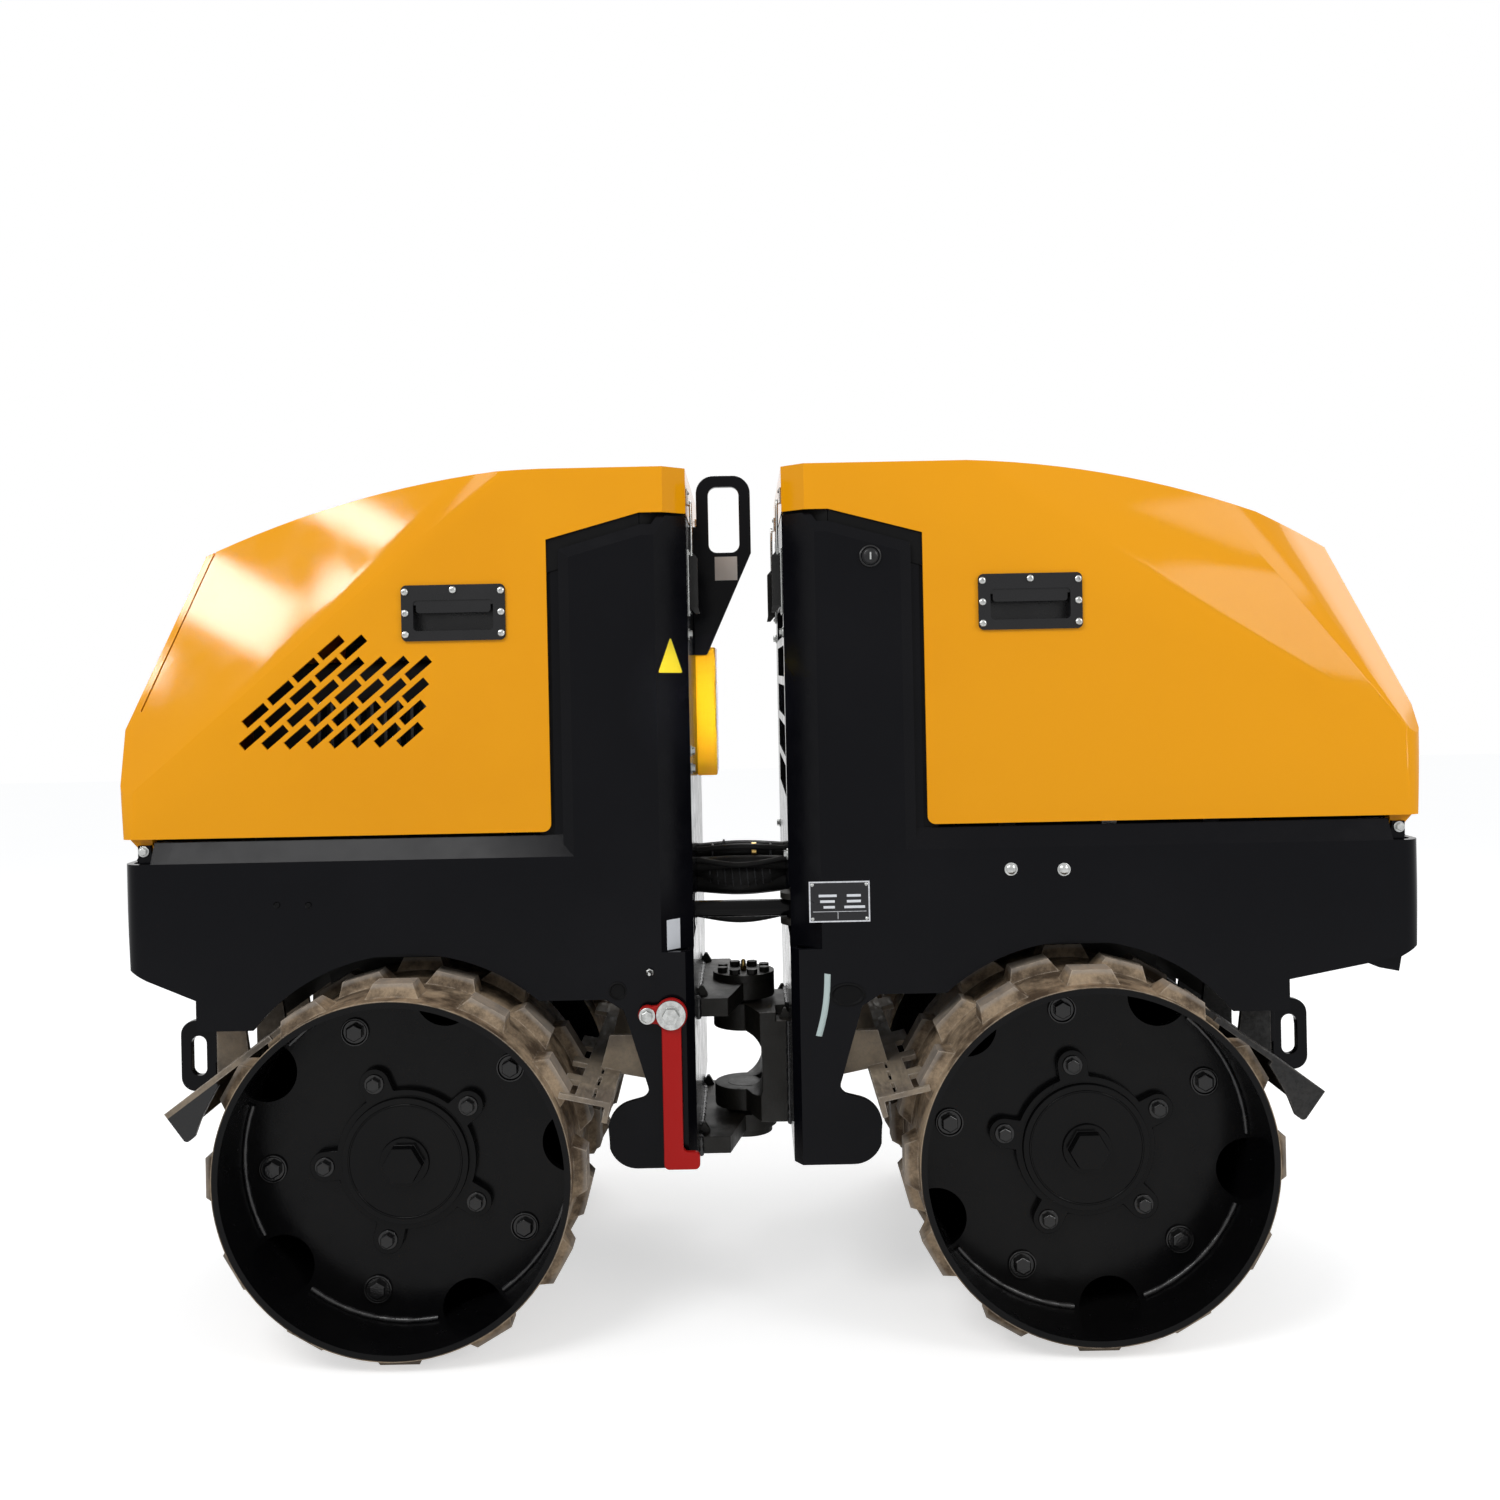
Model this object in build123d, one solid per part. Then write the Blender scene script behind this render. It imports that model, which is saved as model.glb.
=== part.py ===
from build123d import *

import os
from math import atan2, cos, degrees, radians, sin, sqrt, tan

# An articulated trench roller: two half frames hinged in the middle, each carried by one axle with two
# pad-foot drums and covered by a tilting hood. Millimetres, +Z up, +X towards the front, -Y the right side.
# Each half is drawn with u running outwards from the hinge. The front half uses u as X and the rear half is
# the mirror image, so one set of functions makes both. The hinge is at X 0 while the pieces are drawn, and
# the whole machine is then moved so that the origin lies on the floor under the middle of its length.

# drums
shell_radius = 255.0
shell_wall = 10.0
pad_height = 18.0
pad_base = (74.0, 52.0)
pad_top = (57.0, 38.0)
pads_per_row = 12
pad_rows = 3
pad_row_start = 25.0
pad_row_pitch = 95.0
drum_outer_y = 425.0
drum_inner_y = 100.0
web_depth = 108.0
web_thickness = 16.0
web_notch_radius = 45.0
lobes = 5
hub_bolt_circle = 121.0
hub_cap_radius = 93.0
axle_radius = 45.0
axle_flange_radius = 150.0
axle_flange_thickness = 20.0

# layout along the machine
axle_u = 501.0
hinge_gap_half = 73.0
leg_clearance = 43.0
foot_clearance = 23.0
rear_overhang = 109.0
front_overhang = 204.0
rear_hood_overlap = 14.0
front_hood_overlap = 13.0

# layout across the machine
frame_half_width = 305.0
hood_side_inset = 13.0
plate = 10.0
panel_gap = 5.0
running_gap = 0.05

# scrapers: tooth angle, slope and fold of each leaf
scraper_thickness = 8.0
scraper_gap = 6.0
tooth_side_gap = 7.0
scraper_end_gap = 10.0
scraper_ear_inset = 65.0
outer_scraper_shape = (50.3, 35.8, 38.0)
inner_scraper_shape = (25.0, 12.4, 30.0)
inner_scraper_reach = 75.0
tow_eye_foot = 8.0
scraper_tow_gap = 1.75
scraper_slit = (46.0, 4.0)
scraper_slit_pitch = 62.0
scraper_slit_inset = 24.0
cheek_thickness = 8.0
cheek_depth = 52.0

# frame heights, up from the drums
frame_drop = 29.0
foot_height = 91.0
deck_clearance = 20.0
leg_drop = 105.0
skirt_height = 146.0
shoulder_height = 31.0
shoulder_inset = 18.0
tower_side_height = 439.0
tower_crown = 38.0
tower_u = 278.0
tower_flat_u = 142.0
arch_clearance = 25.0
leg_chamfer = (12.0, 20.0)
tower_chamfer = (47.0, 45.0)
tower_bevel = (30.0, 18.0)
end_corner_radius = 30.0

# hinge, with its heights measured from the axles
lug_half_width = 160.0
yoke_half_width = 115.0
yoke_web_x = 28.0
lug_straight_x = 25.0
boss_radius = 52.0
upper_lug_rise = (161.0, 190.0)
lower_lug_rise = (-57.0, -30.0)
yoke_upper_rise = (110.0, 155.0)
yoke_lower_rise = (-23.0, 13.0)
pin_radius = 30.0
pin_cap_radius = 52.0
pin_cap_height = 12.0

# hoods
hood_wall = 5.0
hood_crown = 74.0
hood_hinge_inset = 30.0
hood_hinge_drop = 18.0
hood_eye_width = 18.0
hood_eye_inset = 12.0
hood_eye_radius = 13.0
hood_pin_radius = 7.0
hood_corner_radius = 12.0
side_gap = 1.0
facet_tilt = 28.0
handle_drop = 102.0

# ventilation slots: overall size, tilt, and rows of (first place, count) from the bottom
vent_slot = (43.5, 14.0)
vent_tilt = 50.0
vent_pitch = (33.8, 33.3)
vent_lean = 4.8
vent_inset = 197.0
vent_rise = 150.0
vent_rows = ((0, 8), (0, 8), (1, 7), (2, 6), (3, 2))

# openings in the front bulkhead, one above the other
louvre_count = 5
louvre_height = 48.0
louvre_pitch = 62.0
louvre_rise = 222.0
louvre_y = (-232.0, 150.0)

# the gap line round the rear hood's raised end panel
end_panel_thickness = 11.0
end_panel_gap = 2.5

# lock bar
lock_pivot_x = -107.0
lock_pivot_rise = 203.0
lock_bar_length = 230.0
lock_bar_width = 29.0
lock_bar_thickness = 10.0
lock_stand_off = 6.0

# hoses across the hinge, each as y, height over the deck and radius
hose_gap = 0.3
hose_places = ((-40.0, 94.0, 13.0), (-5.0, 106.0, 13.0), (30.0, 89.0, 13.0), (65.0, 102.0, 17.0))

# steering cylinder
cylinder_inset = 110.0
cylinder_anchor_x = -330.0
cylinder_pin_x = 95.0
cylinder_rise = 46.0
barrel_radius = 24.0
barrel_reach = 258.0
rod_radius = 13.0
rod_length = 280.0
eye_radius = 24.0
eye_half = 15.0
anchor_pin_radius = 12.0
fork_gap = 0.4

# worked out from the sizes above
pad_radius = shell_radius + pad_height
axle_z = pad_radius
arch_radius = pad_radius + arch_clearance
leg_u = axle_u + pad_radius + leg_clearance
foot_u = axle_u - pad_radius - foot_clearance
rear_frame_end = leg_u + rear_overhang
front_frame_end = leg_u + front_overhang
rear_hood_reach = rear_frame_end + rear_hood_overlap
front_hood_reach = front_frame_end + front_hood_overlap
frame_bottom_z = axle_z - frame_drop
deck_z = axle_z + pad_radius + deck_clearance
leg_low_z = deck_z - leg_drop
skirt_top_z = deck_z + skirt_height
shoulder_top_z = skirt_top_z + shoulder_height
tower_edge_z = shoulder_top_z + tower_side_height
tower_top_z = tower_edge_z + tower_crown
hood_bottom_z = shoulder_top_z + panel_gap
hood_top_z = tower_top_z + hood_crown
hood_half_width = frame_half_width - hood_side_inset
hood_eye_y = (hood_half_width - hood_eye_inset - hood_eye_width, hood_half_width - hood_eye_inset)
handle_z = tower_edge_z - handle_drop
upper_lug_z = (axle_z + upper_lug_rise[0], axle_z + upper_lug_rise[1])
lower_lug_z = (axle_z + lower_lug_rise[0], axle_z + lower_lug_rise[1])
yoke_upper_z = (axle_z + yoke_upper_rise[0], axle_z + yoke_upper_rise[1])
yoke_lower_z = (axle_z + yoke_lower_rise[0], axle_z + yoke_lower_rise[1])
lock_pivot_z = axle_z + lock_pivot_rise
cylinder_y = cylinder_inset - frame_half_width
cylinder_anchor = (cylinder_anchor_x, cylinder_y)
cylinder_pin = (cylinder_pin_x, cylinder_y)
cylinder_z = deck_z + cylinder_rise
origin_shift = (rear_hood_reach - front_hood_reach) / 2


def slab(face, low_y, high_y):
    """A face drawn in (u, z), made solid between two places across the machine."""
    return Pos(0, high_y, 0) * extrude(Plane.XZ * face, high_y - low_y, dir=(0, -1, 0))


def outline(*points):
    """A closed face through points in the drawing plane."""
    return make_face(Polyline(*points, close=True))


def block(low_u, high_u, low_y, high_y, low_z, high_z):
    """A box between two corners."""
    centre = ((low_u + high_u) / 2, (low_y + high_y) / 2, (low_z + high_z) / 2)
    return Pos(*centre) * Box(high_u - low_u, high_y - low_y, high_z - low_z)


def rod(radius, low_y, high_y, u=0.0, z=0.0):
    """A round bar that lies across the machine."""
    return Pos(u, (low_y + high_y) / 2, z) * Rot(90, 0, 0) * Cylinder(radius, high_y - low_y)


def post(radius, low_z, high_z, x=0.0, y=0.0):
    """A round bar that stands upright."""
    return Pos(x, y, (low_z + high_z) / 2) * Cylinder(radius, high_z - low_z)


def lying(radius, low_x, high_x, y, z):
    """A round bar that lies along the machine."""
    return Pos((low_x + high_x) / 2, y, z) * Rot(0, 90, 0) * Cylinder(radius, high_x - low_x)


def both_sides(piece):
    """The piece and its mirror image on the other side of the machine."""
    return piece + mirror(piece, about=Plane.XZ)


# drums


def drum_pad():
    """One pad that stands on top of the drum, sunk a little into the shell, with four flat flanks."""
    sink = 6.0
    low_z = shell_radius - sink
    sections = []
    for base, top in zip(pad_base, pad_top):
        low = base / 2 + (base - top) / 2 / pad_height * sink
        sections.append(outline((-low, low_z), (low, low_z), (top / 2, pad_radius), (-top / 2, pad_radius)))
    along = slab(sections[0], -pad_base[1], pad_base[1])
    across = Rot(0, 0, 90) * slab(sections[1], -pad_base[0], pad_base[0])
    return along & across


def drum(phase):
    """The right-hand drum about the origin: shell, pads, and the notched web, turned by phase."""
    shell = rod(shell_radius, -drum_outer_y, -drum_inner_y)
    pad = drum_pad()
    pads = []
    for row in range(pad_rows):
        y = -drum_outer_y + pad_row_start + pad_row_pitch * row + pad_base[1] / 2
        stagger = 180 / pads_per_row * (row % 2)
        for n in range(pads_per_row):
            angle = 180 + stagger + 360 / pads_per_row * n
            pads.append(Rot(0, angle, 0) * Pos(0, y, 0) * pad)
    shell = shell + pads
    shell -= rod(shell_radius - shell_wall, -drum_outer_y - 1, -drum_inner_y + 1)
    web_y = -drum_outer_y + web_depth
    web = rod(shell_radius - shell_wall, web_y, web_y + web_thickness)
    for n in range(lobes):
        turn = phase + 360 / lobes * n
        notch_z = shell_radius - shell_wall
        web -= Rot(0, turn, 0) * rod(web_notch_radius, web_y - 1, web_y + web_thickness + 1, 0, notch_z)
    web -= rod(axle_radius, web_y - 1, web_y + web_thickness + 1)
    return shell + web


def hub_cover(phase):
    """The lobed casting bolted over the axle's end, with its round cap and hexagon plug."""
    base_y = -drum_outer_y + web_depth
    cover_depth = 14.0
    lobe_radius = 22.0
    body = rod(hub_cap_radius + 10, base_y - cover_depth, base_y)
    for n in range(lobes):
        turn = phase + 360 / lobes * (n + 0.5)
        body += Rot(0, turn, 0) * rod(lobe_radius, base_y - cover_depth, base_y, 0, hub_bolt_circle)
        neck = block(-lobe_radius, lobe_radius, base_y - cover_depth, base_y, 60, hub_bolt_circle)
        body += Rot(0, turn, 0) * neck
    cap = rod(hub_cap_radius, base_y - cover_depth - 8, base_y)
    flange = rod(36, base_y - cover_depth - 14, base_y)
    plug = RegularPolygon(29, 6, major_radius=True)
    plug = slab(plug, base_y - cover_depth - 30, base_y)
    return body + cap + flange + plug


def axle():
    """The through axle with a flange behind each drum's web."""
    web_back_y = drum_outer_y - web_depth - web_thickness
    shaft = rod(axle_radius - 5, -web_back_y, web_back_y)
    flange = rod(axle_flange_radius, web_back_y - axle_flange_thickness, web_back_y)
    return shaft + both_sides(flange)


def gear_housing(side_gap=12.0):
    """The case between the drums that carries the axle and the vibrator."""
    half = drum_inner_y - side_gap
    top_z = deck_z - axle_z
    face = outline((-190, top_z), (190, top_z), (130, -60), (60, -130), (-60, -130), (-130, -60))
    face = fillet(face.vertices().sort_by(Axis.Y)[0:4], 35)
    case = slab(face, -half, half)
    case += rod(105, -half - 7, half + 7)
    return case - rod(axle_radius - 5 + running_gap, -200, 200)


# frames


def side_outline(end):
    """The side plate of one half frame below the hood, from the hinge out to its end."""
    face = outline(
        (hinge_gap_half, frame_bottom_z),
        (foot_u, frame_bottom_z),
        (foot_u, frame_bottom_z + foot_height),
        (foot_u - 65, frame_bottom_z + foot_height + 17),
        (foot_u - 27, deck_z - 86),
        (foot_u, deck_z - 69),
        (axle_u, deck_z - 69),
        (axle_u, leg_low_z),
        (leg_u, leg_low_z),
        (leg_u, deck_z - 59),
        (end - 36, deck_z - 28),
        (end - 9, deck_z - 13),
        (end, skirt_top_z),
        (hinge_gap_half, skirt_top_z),
    )
    foot = [v for v in face.vertices() if abs(v.X - foot_u) < 1 and v.Y < frame_bottom_z + foot_height + 1]
    face = fillet(foot, foot_height * 0.48)
    neck = [v for v in face.vertices() if abs(v.X - foot_u + 65) < 1]
    face = fillet(neck, 14)
    return face - Pos(axle_u, axle_z) * Circle(arch_radius)


def plan_outline(reach, half_width, chamfer, inset=0.0):
    """A frame or hood seen from above: chamfered at the hinge and rounded at the end.

    chamfer is how far the corner is cut along and across, on the frame's full width.
    """
    run, depth = chamfer
    straight = frame_half_width - depth
    chamfer_end = hinge_gap_half + run * (half_width - straight) / depth
    face = outline(
        (hinge_gap_half, -straight),
        (chamfer_end, -half_width),
        (reach, -half_width),
        (reach, half_width),
        (chamfer_end, half_width),
        (hinge_gap_half, straight),
    )
    far = [v for v in face.vertices() if abs(v.X - reach) < 1]
    face = fillet(far, end_corner_radius)
    return offset(face, -inset) if inset else face


def column(reach, low_z, high_z, chamfer, inset=0.0):
    """The frame's plan made solid between two heights."""
    face = plan_outline(reach, frame_half_width, chamfer, inset)
    return Pos(0, 0, low_z) * extrude(face, high_z - low_z)


def tower_form():
    """The tower beside the hood. Its side faces lean in towards the edges that the hood closes against."""
    run, depth = tower_bevel
    face = outline(
        (hinge_gap_half - 2 * run, deck_z),
        (tower_u, deck_z),
        (tower_u, tower_edge_z),
        (tower_flat_u, tower_top_z),
        (hinge_gap_half - 2 * run, tower_top_z),
    )
    core = frame_half_width - depth
    lean = degrees(atan2(run, depth))
    flank = Pos(0, -core, 0) * extrude(Plane.XZ * face, depth, taper=lean)
    return slab(face, -core, core) + both_sides(flank)


def half_frame(half):
    """One half frame: side plates, bulkhead, deck, end plates and the shoulder under the hood."""
    width = frame_half_width
    end = half["end"]
    high = hood_top_z
    skirt = slab(side_outline(end), -width, width) + tower_form()
    body = skirt & (column(end, 0, deck_z, leg_chamfer) + column(end, deck_z, high, tower_chamfer))
    shell_u = hinge_gap_half + plate
    body -= column(end, deck_z + plate, high, tower_chamfer, plate)
    below = column(end, 0, deck_z, leg_chamfer, plate)
    body -= below & block(shell_u, leg_u - plate, -width, width, 0, deck_z)
    body -= below & block(leg_u, end, -width, width, 0, deck_z)
    # the deck goes on over the drums, where the arches cut the side plates
    deck = column(end, deck_z, deck_z + plate, tower_chamfer, plate / 2)
    body += deck & block(hinge_gap_half, end - 5, -width, width, deck_z, deck_z + plate)
    taper = degrees(atan2(shoulder_inset, shoulder_height))
    rim = plan_outline(end, width, tower_chamfer)
    ring = Pos(0, 0, skirt_top_z) * extrude(rim, shoulder_height, taper=taper)
    ring -= column(end, skirt_top_z, shoulder_top_z, tower_chamfer, shoulder_inset + 6)
    shoulder = ring & block(tower_u - tower_bevel[0], end + 1, -width, width, skirt_top_z, shoulder_top_z)
    shoulder -= both_sides(block(end - 45, end + 5, width - 60, width + 95, skirt_top_z, hood_bottom_z + 52))
    body += shoulder
    # turned edges of the tower, where the hood closes against it
    flange = (tower_u - 16, tower_u, width - 44, width - tower_bevel[1] - 1)
    body += both_sides(block(*flange, skirt_top_z - 5, tower_edge_z - 8))
    wall = (hinge_gap_half - 1, hinge_gap_half + plate + 1)
    # the steering cylinder's opening
    low_y, high_y = half["window_reach"]
    body -= block(*wall, cylinder_y - low_y, cylinder_y + high_y, deck_z + plate + 2, cylinder_z + 44)
    for y, rise, radius in hose_places:
        body -= lying(radius + hose_gap, *wall, y, deck_z + rise)
    if half["louvred"]:
        for n in range(louvre_count):
            low_z = deck_z + louvre_rise + louvre_pitch * n
            body -= block(*wall, *louvre_y, low_z, low_z + louvre_height)
        lug = outline(
            (end - 90, deck_z - 36),
            (end - 30, deck_z - 20),
            (end - 36, deck_z - 52),
            (end - 66, deck_z - 46),
        )
        body += both_sides(slab(lug, width - 20, width - 10))
    return body


def tow_eyes():
    """Two tie-down eyes that stand out from the leg's end plate."""
    near = leg_u + tow_eye_foot
    low_z = leg_low_z - 116
    high_z = leg_low_z - 6
    face = outline((near, low_z), (near + 54, low_z), (near + 54, high_z), (near, high_z))
    far = [v for v in face.vertices() if v.X > near + 1]
    face = fillet(far, 22)
    face -= Pos(near + 26, (low_z + high_z) / 2) * SlotOverall(62, 24, rotation=90)
    back = block(leg_u, near, 180, 220, high_z - 63, deck_z - 21)
    return both_sides(slab(face, 193, 207) + back)


def scraper_slits(reach):
    """The row of slits along the leaf's back, which the cleaning fingers would bolt through."""
    length, width = scraper_slit
    count = int((drum_outer_y - scraper_end_gap - drum_inner_y) / scraper_slit_pitch)
    slits = []
    for n in range(count):
        low_y = drum_inner_y + 12 + scraper_slit_pitch * n
        low_u = reach - scraper_slit_inset - width
        slit = block(low_u, low_u + width, low_y, low_y + length, -scraper_thickness - 1, 1)
        slits.append(both_sides(slit))
    return slits


def outer_scraper_reach():
    """The outer leaf ends just short of the tow eyes on the leg's plate."""
    lean, dip, drop = outer_scraper_shape
    tip_u = (shell_radius + scraper_gap) * cos(radians(lean))
    edge = scraper_thickness * sin(radians(dip))
    return (leg_u + tow_eye_foot - scraper_tow_gap - edge - axle_u - tip_u) / cos(radians(dip))


def scraper(shape, reach, seat_u, seat_z, cheeks):
    """A full-width scraper: long teeth pass between the pad rows, and its back is folded down.

    shape holds the angle of the tooth tips about the axle, measured up from the outward horizontal, the
    leaf's slope and its fold, and reach is its length. Its ears meet the frame's plate at seat_u, between
    the two seat_z.
    """
    lean, dip, drop = shape
    half_width = drum_outer_y - scraper_end_gap
    body = block(0, reach, -half_width, half_width, -scraper_thickness, 0)
    body += block(reach - scraper_thickness, reach, -half_width, half_width, -drop, 0)
    under_radius = shell_radius + scraper_gap
    clear_radius = pad_radius + scraper_gap
    # the plate's underside passes the pads' circle this far from the tooth tips
    offset_angle = radians(lean + dip)
    along = under_radius * cos(offset_angle)
    notch = sqrt(clear_radius**2 - under_radius**2 + along**2) - along
    for row in range(pad_rows):
        start = -drum_outer_y + pad_row_start + pad_row_pitch * row - tooth_side_gap
        slot = block(-1, notch, start, start + pad_base[1] + 2 * tooth_side_gap, -drop, 1)
        body -= both_sides(slot)
    body -= block(-1, notch, -drum_inner_y + 12, drum_inner_y - 12, -drop, 1)
    for slit in scraper_slits(reach):
        body -= slit
    if cheeks:
        # the end cheeks hang down behind the drum, clear of its pads
        cheek = outline(
            (reach - 86, -6),
            (reach - 86, -14),
            (reach - 66, -23),
            (reach - 36, -38),
            (reach - 15, -cheek_depth),
            (reach, -cheek_depth),
            (reach, -6),
        )
        low = [v for v in cheek.vertices() if v.Y < 1 - cheek_depth]
        cheek = fillet(low, 6)
        body += both_sides(slab(cheek, half_width - cheek_thickness, half_width))
    tip_u = under_radius * cos(radians(lean))
    tip_z = under_radius * sin(radians(lean))
    body = Pos(axle_u + tip_u, 0, axle_z + tip_z) * Rot(0, dip, 0) * Pos(0, 0, scraper_thickness) * body
    slope = tan(radians(dip))
    rise = scraper_thickness / cos(radians(dip)) / 2

    def leaf_z(u):
        return axle_z + tip_z + rise - slope * (u - axle_u - tip_u)

    front_u = axle_u + tip_u + reach * cos(radians(dip)) * 0.6
    back_u = min(seat_u, axle_u + tip_u + reach * cos(radians(dip)) - 2)
    foot_z = min(seat_z[0], leaf_z(back_u))
    ear_points = [(seat_u, seat_z[1]), (seat_u, foot_z)]
    if back_u < seat_u:
        ear_points.append((back_u, leaf_z(back_u)))
    ear_points += [(front_u, leaf_z(front_u)), (front_u + 15, seat_z[1])]
    ear = outline(*ear_points)
    for y in (60, frame_half_width - scraper_ear_inset):
        body += both_sides(slab(ear, y, y + 10))
    return body

# hoods


def hood_profile(half, inset=0.0):
    """The hood seen from the side, closed across its foot."""
    top_start = half["arc_start"]
    kink_u, kink_z = half["kink"]
    reach, reach_z = half["nose"]
    toe_u = half["end"] + 2
    run = kink_u - top_start
    fall = hood_top_z - kink_z
    radius = (run**2 + fall**2) / (2 * fall)
    mid = radians(degrees(atan2(run, radius - fall)) / 2)
    middle = (top_start + radius * sin(mid), hood_top_z - radius * (1 - cos(mid)))
    edges = [
        Line((hinge_gap_half, hood_bottom_z), (hinge_gap_half, hood_top_z)),
        Line((hinge_gap_half, hood_top_z), (top_start, hood_top_z)),
        ThreePointArc((top_start, hood_top_z), middle, (kink_u, kink_z)),
        Line((kink_u, kink_z), (reach, reach_z)),
        Line((reach, reach_z), (toe_u, hood_bottom_z)),
        Line((toe_u, hood_bottom_z), (hinge_gap_half, hood_bottom_z)),
    ]
    face = make_face(edges)
    if inset:
        face = offset(face, -inset, kind=Kind.INTERSECTION)
        near_u = hinge_gap_half + inset
        far_u = toe_u - inset
        low_z = hood_bottom_z - 100
        high_z = hood_bottom_z + 12
        face += outline((near_u, low_z), (far_u, low_z), (far_u, high_z), (near_u, high_z))
    return face


def facet_cutter(half, inset=0.0):
    """A half space outside the slanting facet on the right side, above the crease."""
    (u0, z0), (u1, z1) = half["crease"]
    along = Vector(u1 - u0, 0, z1 - z0).normalized()
    upward = Vector(-along.Z, 0, along.X)
    if upward.Z < 0:
        upward = -upward
    lean = radians(facet_tilt)
    rise = upward * cos(lean) + Vector(0, 1, 0) * sin(lean)
    normal = along.cross(rise)
    if normal.Y > 0:
        normal = -normal
    origin = Vector(u0, -hood_half_width, z0) - normal * inset
    plane = Plane(origin=origin, x_dir=along, z_dir=normal)
    return plane * Pos(0, 0, 500) * Box(4000, 4000, 1000)


def nose_cutter(half, inset=0.0):
    """A half space outside the corner facet between the side and the sloping end."""
    a, b, c = (Vector(*p) for p in half["nose_facet"])
    normal = (b - a).cross(c - a).normalized()
    if normal.Y > 0:
        normal = -normal
    plane = Plane(origin=a - normal * inset, x_dir=(b - a).normalized(), z_dir=normal)
    return plane * Pos(0, 0, 500) * Box(4000, 4000, 1000)


def hood_block(half, inset=0.0):
    """The hood's outer form, or the space inside its wall."""
    body = slab(hood_profile(half, inset), -hood_half_width, hood_half_width)
    plan = plan_outline(half["nose"][0], hood_half_width, tower_chamfer, inset)
    body &= extrude(plan, 1500)
    cutter = facet_cutter(half, inset)
    body = body - cutter - mirror(cutter, about=Plane.XZ)
    if "nose_facet" in half:
        cutter = nose_cutter(half, inset)
        body = body - cutter - mirror(cutter, about=Plane.XZ)
    return body


def vents(half):
    """The slanted ventilation slots through the hood's side."""
    u = half["end"] - vent_inset
    z = hood_bottom_z + vent_rise
    slots = []
    for row, (first, count) in enumerate(vent_rows):
        for n in range(count):
            place = (u - vent_pitch[0] * (first + n) - vent_lean * row, z + vent_pitch[1] * row)
            slots.append(Pos(*place) * Rectangle(*vent_slot, rotation=90 + vent_tilt))
    cut = [slab(slot, -hood_half_width - 1, hood_wall + 1 - hood_half_width) for slot in slots]
    return cut


def end_panel_line(half):
    """The narrow gap that sets off the raised panel on the hood's sloping end."""
    kink = Vector(*half["kink"])
    nose = Vector(*half["nose"])
    along = (nose - kink).normalized()
    inward = Vector(-abs(along.Y), -abs(along.X))
    top = kink - along * 40 + inward * end_panel_thickness
    foot = nose - along * 34 + inward * end_panel_thickness
    gap = inward * end_panel_gap
    corners = [top, foot, foot + gap, top + gap]
    return slab(outline(*[(p.X, p.Y) for p in corners]), -hood_half_width - 1, hood_half_width + 1)


def hood(half):
    """A hood: the walled shell, open below and cut away round the tower, with its two hinge arms."""
    body = hood_block(half) - hood_block(half, hood_wall)
    gap = panel_gap
    tower = outline(
        (0, hood_bottom_z - 148),
        (tower_u + gap, hood_bottom_z - 148),
        (tower_u + gap, tower_edge_z + gap),
        (tower_flat_u, tower_top_z + gap),
        (0, tower_top_z + gap),
    )
    body -= slab(tower, -hood_half_width - 1, hood_half_width + 1)
    corner_u = tower_u + gap + hood_corner_radius
    corner_z = hood_bottom_z + hood_corner_radius
    corner = outline(
        (tower_u, hood_bottom_z - 1),
        (corner_u, hood_bottom_z - 1),
        (corner_u, corner_z),
        (tower_u, corner_z),
    )
    corner -= Pos(corner_u, corner_z) * Circle(hood_corner_radius)
    body -= slab(corner, -hood_half_width - 1, hood_half_width + 1)
    u, z = half["handle"]
    recess = Pos(u, z - 4) * RectangleRounded(126.6, 52.6, 8)
    window = slab(recess, -hood_half_width - 1, 20 - hood_half_width)
    body -= both_sides(window)
    if half["vented"]:
        slots = vents(half)
        body = body - slots - [mirror(slot, about=Plane.XZ) for slot in slots]
        body -= end_panel_line(half)
    pin_u = half["end"] - hood_hinge_inset
    pin_z = hood_bottom_z - hood_hinge_drop
    low_y, high_y = hood_eye_y
    wall_u = half["end"] - 1
    arm = outline(
        (pin_u - 9, pin_z),
        (pin_u + 9, pin_z),
        (wall_u, hood_bottom_z + 4),
        (wall_u, hood_bottom_z + 45),
        (pin_u - 9, hood_bottom_z + 18),
    )
    eye = rod(hood_eye_radius, low_y, high_y, pin_u, pin_z) + slab(arm, low_y, high_y)
    eye -= rod(hood_pin_radius + running_gap, low_y - 5, high_y + 5, pin_u, pin_z)
    return body + both_sides(eye)


def hood_hinge_pins(half):
    """The brackets and pins on the frame that the hood turns on."""
    pin_u = half["end"] - hood_hinge_inset
    pin_z = hood_bottom_z - hood_hinge_drop
    ear = outline(
        (pin_u - 40, deck_z + plate),
        (pin_u - 12, deck_z + plate),
        (pin_u + 9, pin_z - 9),
        (pin_u + 9, pin_z + 9),
        (pin_u - 9, pin_z + 9),
    )
    low_y, high_y = hood_eye_y
    body = slab(ear, low_y - side_gap - 9, low_y - side_gap)
    body += slab(ear, high_y + side_gap, high_y + side_gap + 9)
    body += rod(hood_pin_radius, low_y - side_gap - 9, high_y + side_gap + 9, pin_u, pin_z)
    return both_sides(body)


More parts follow.
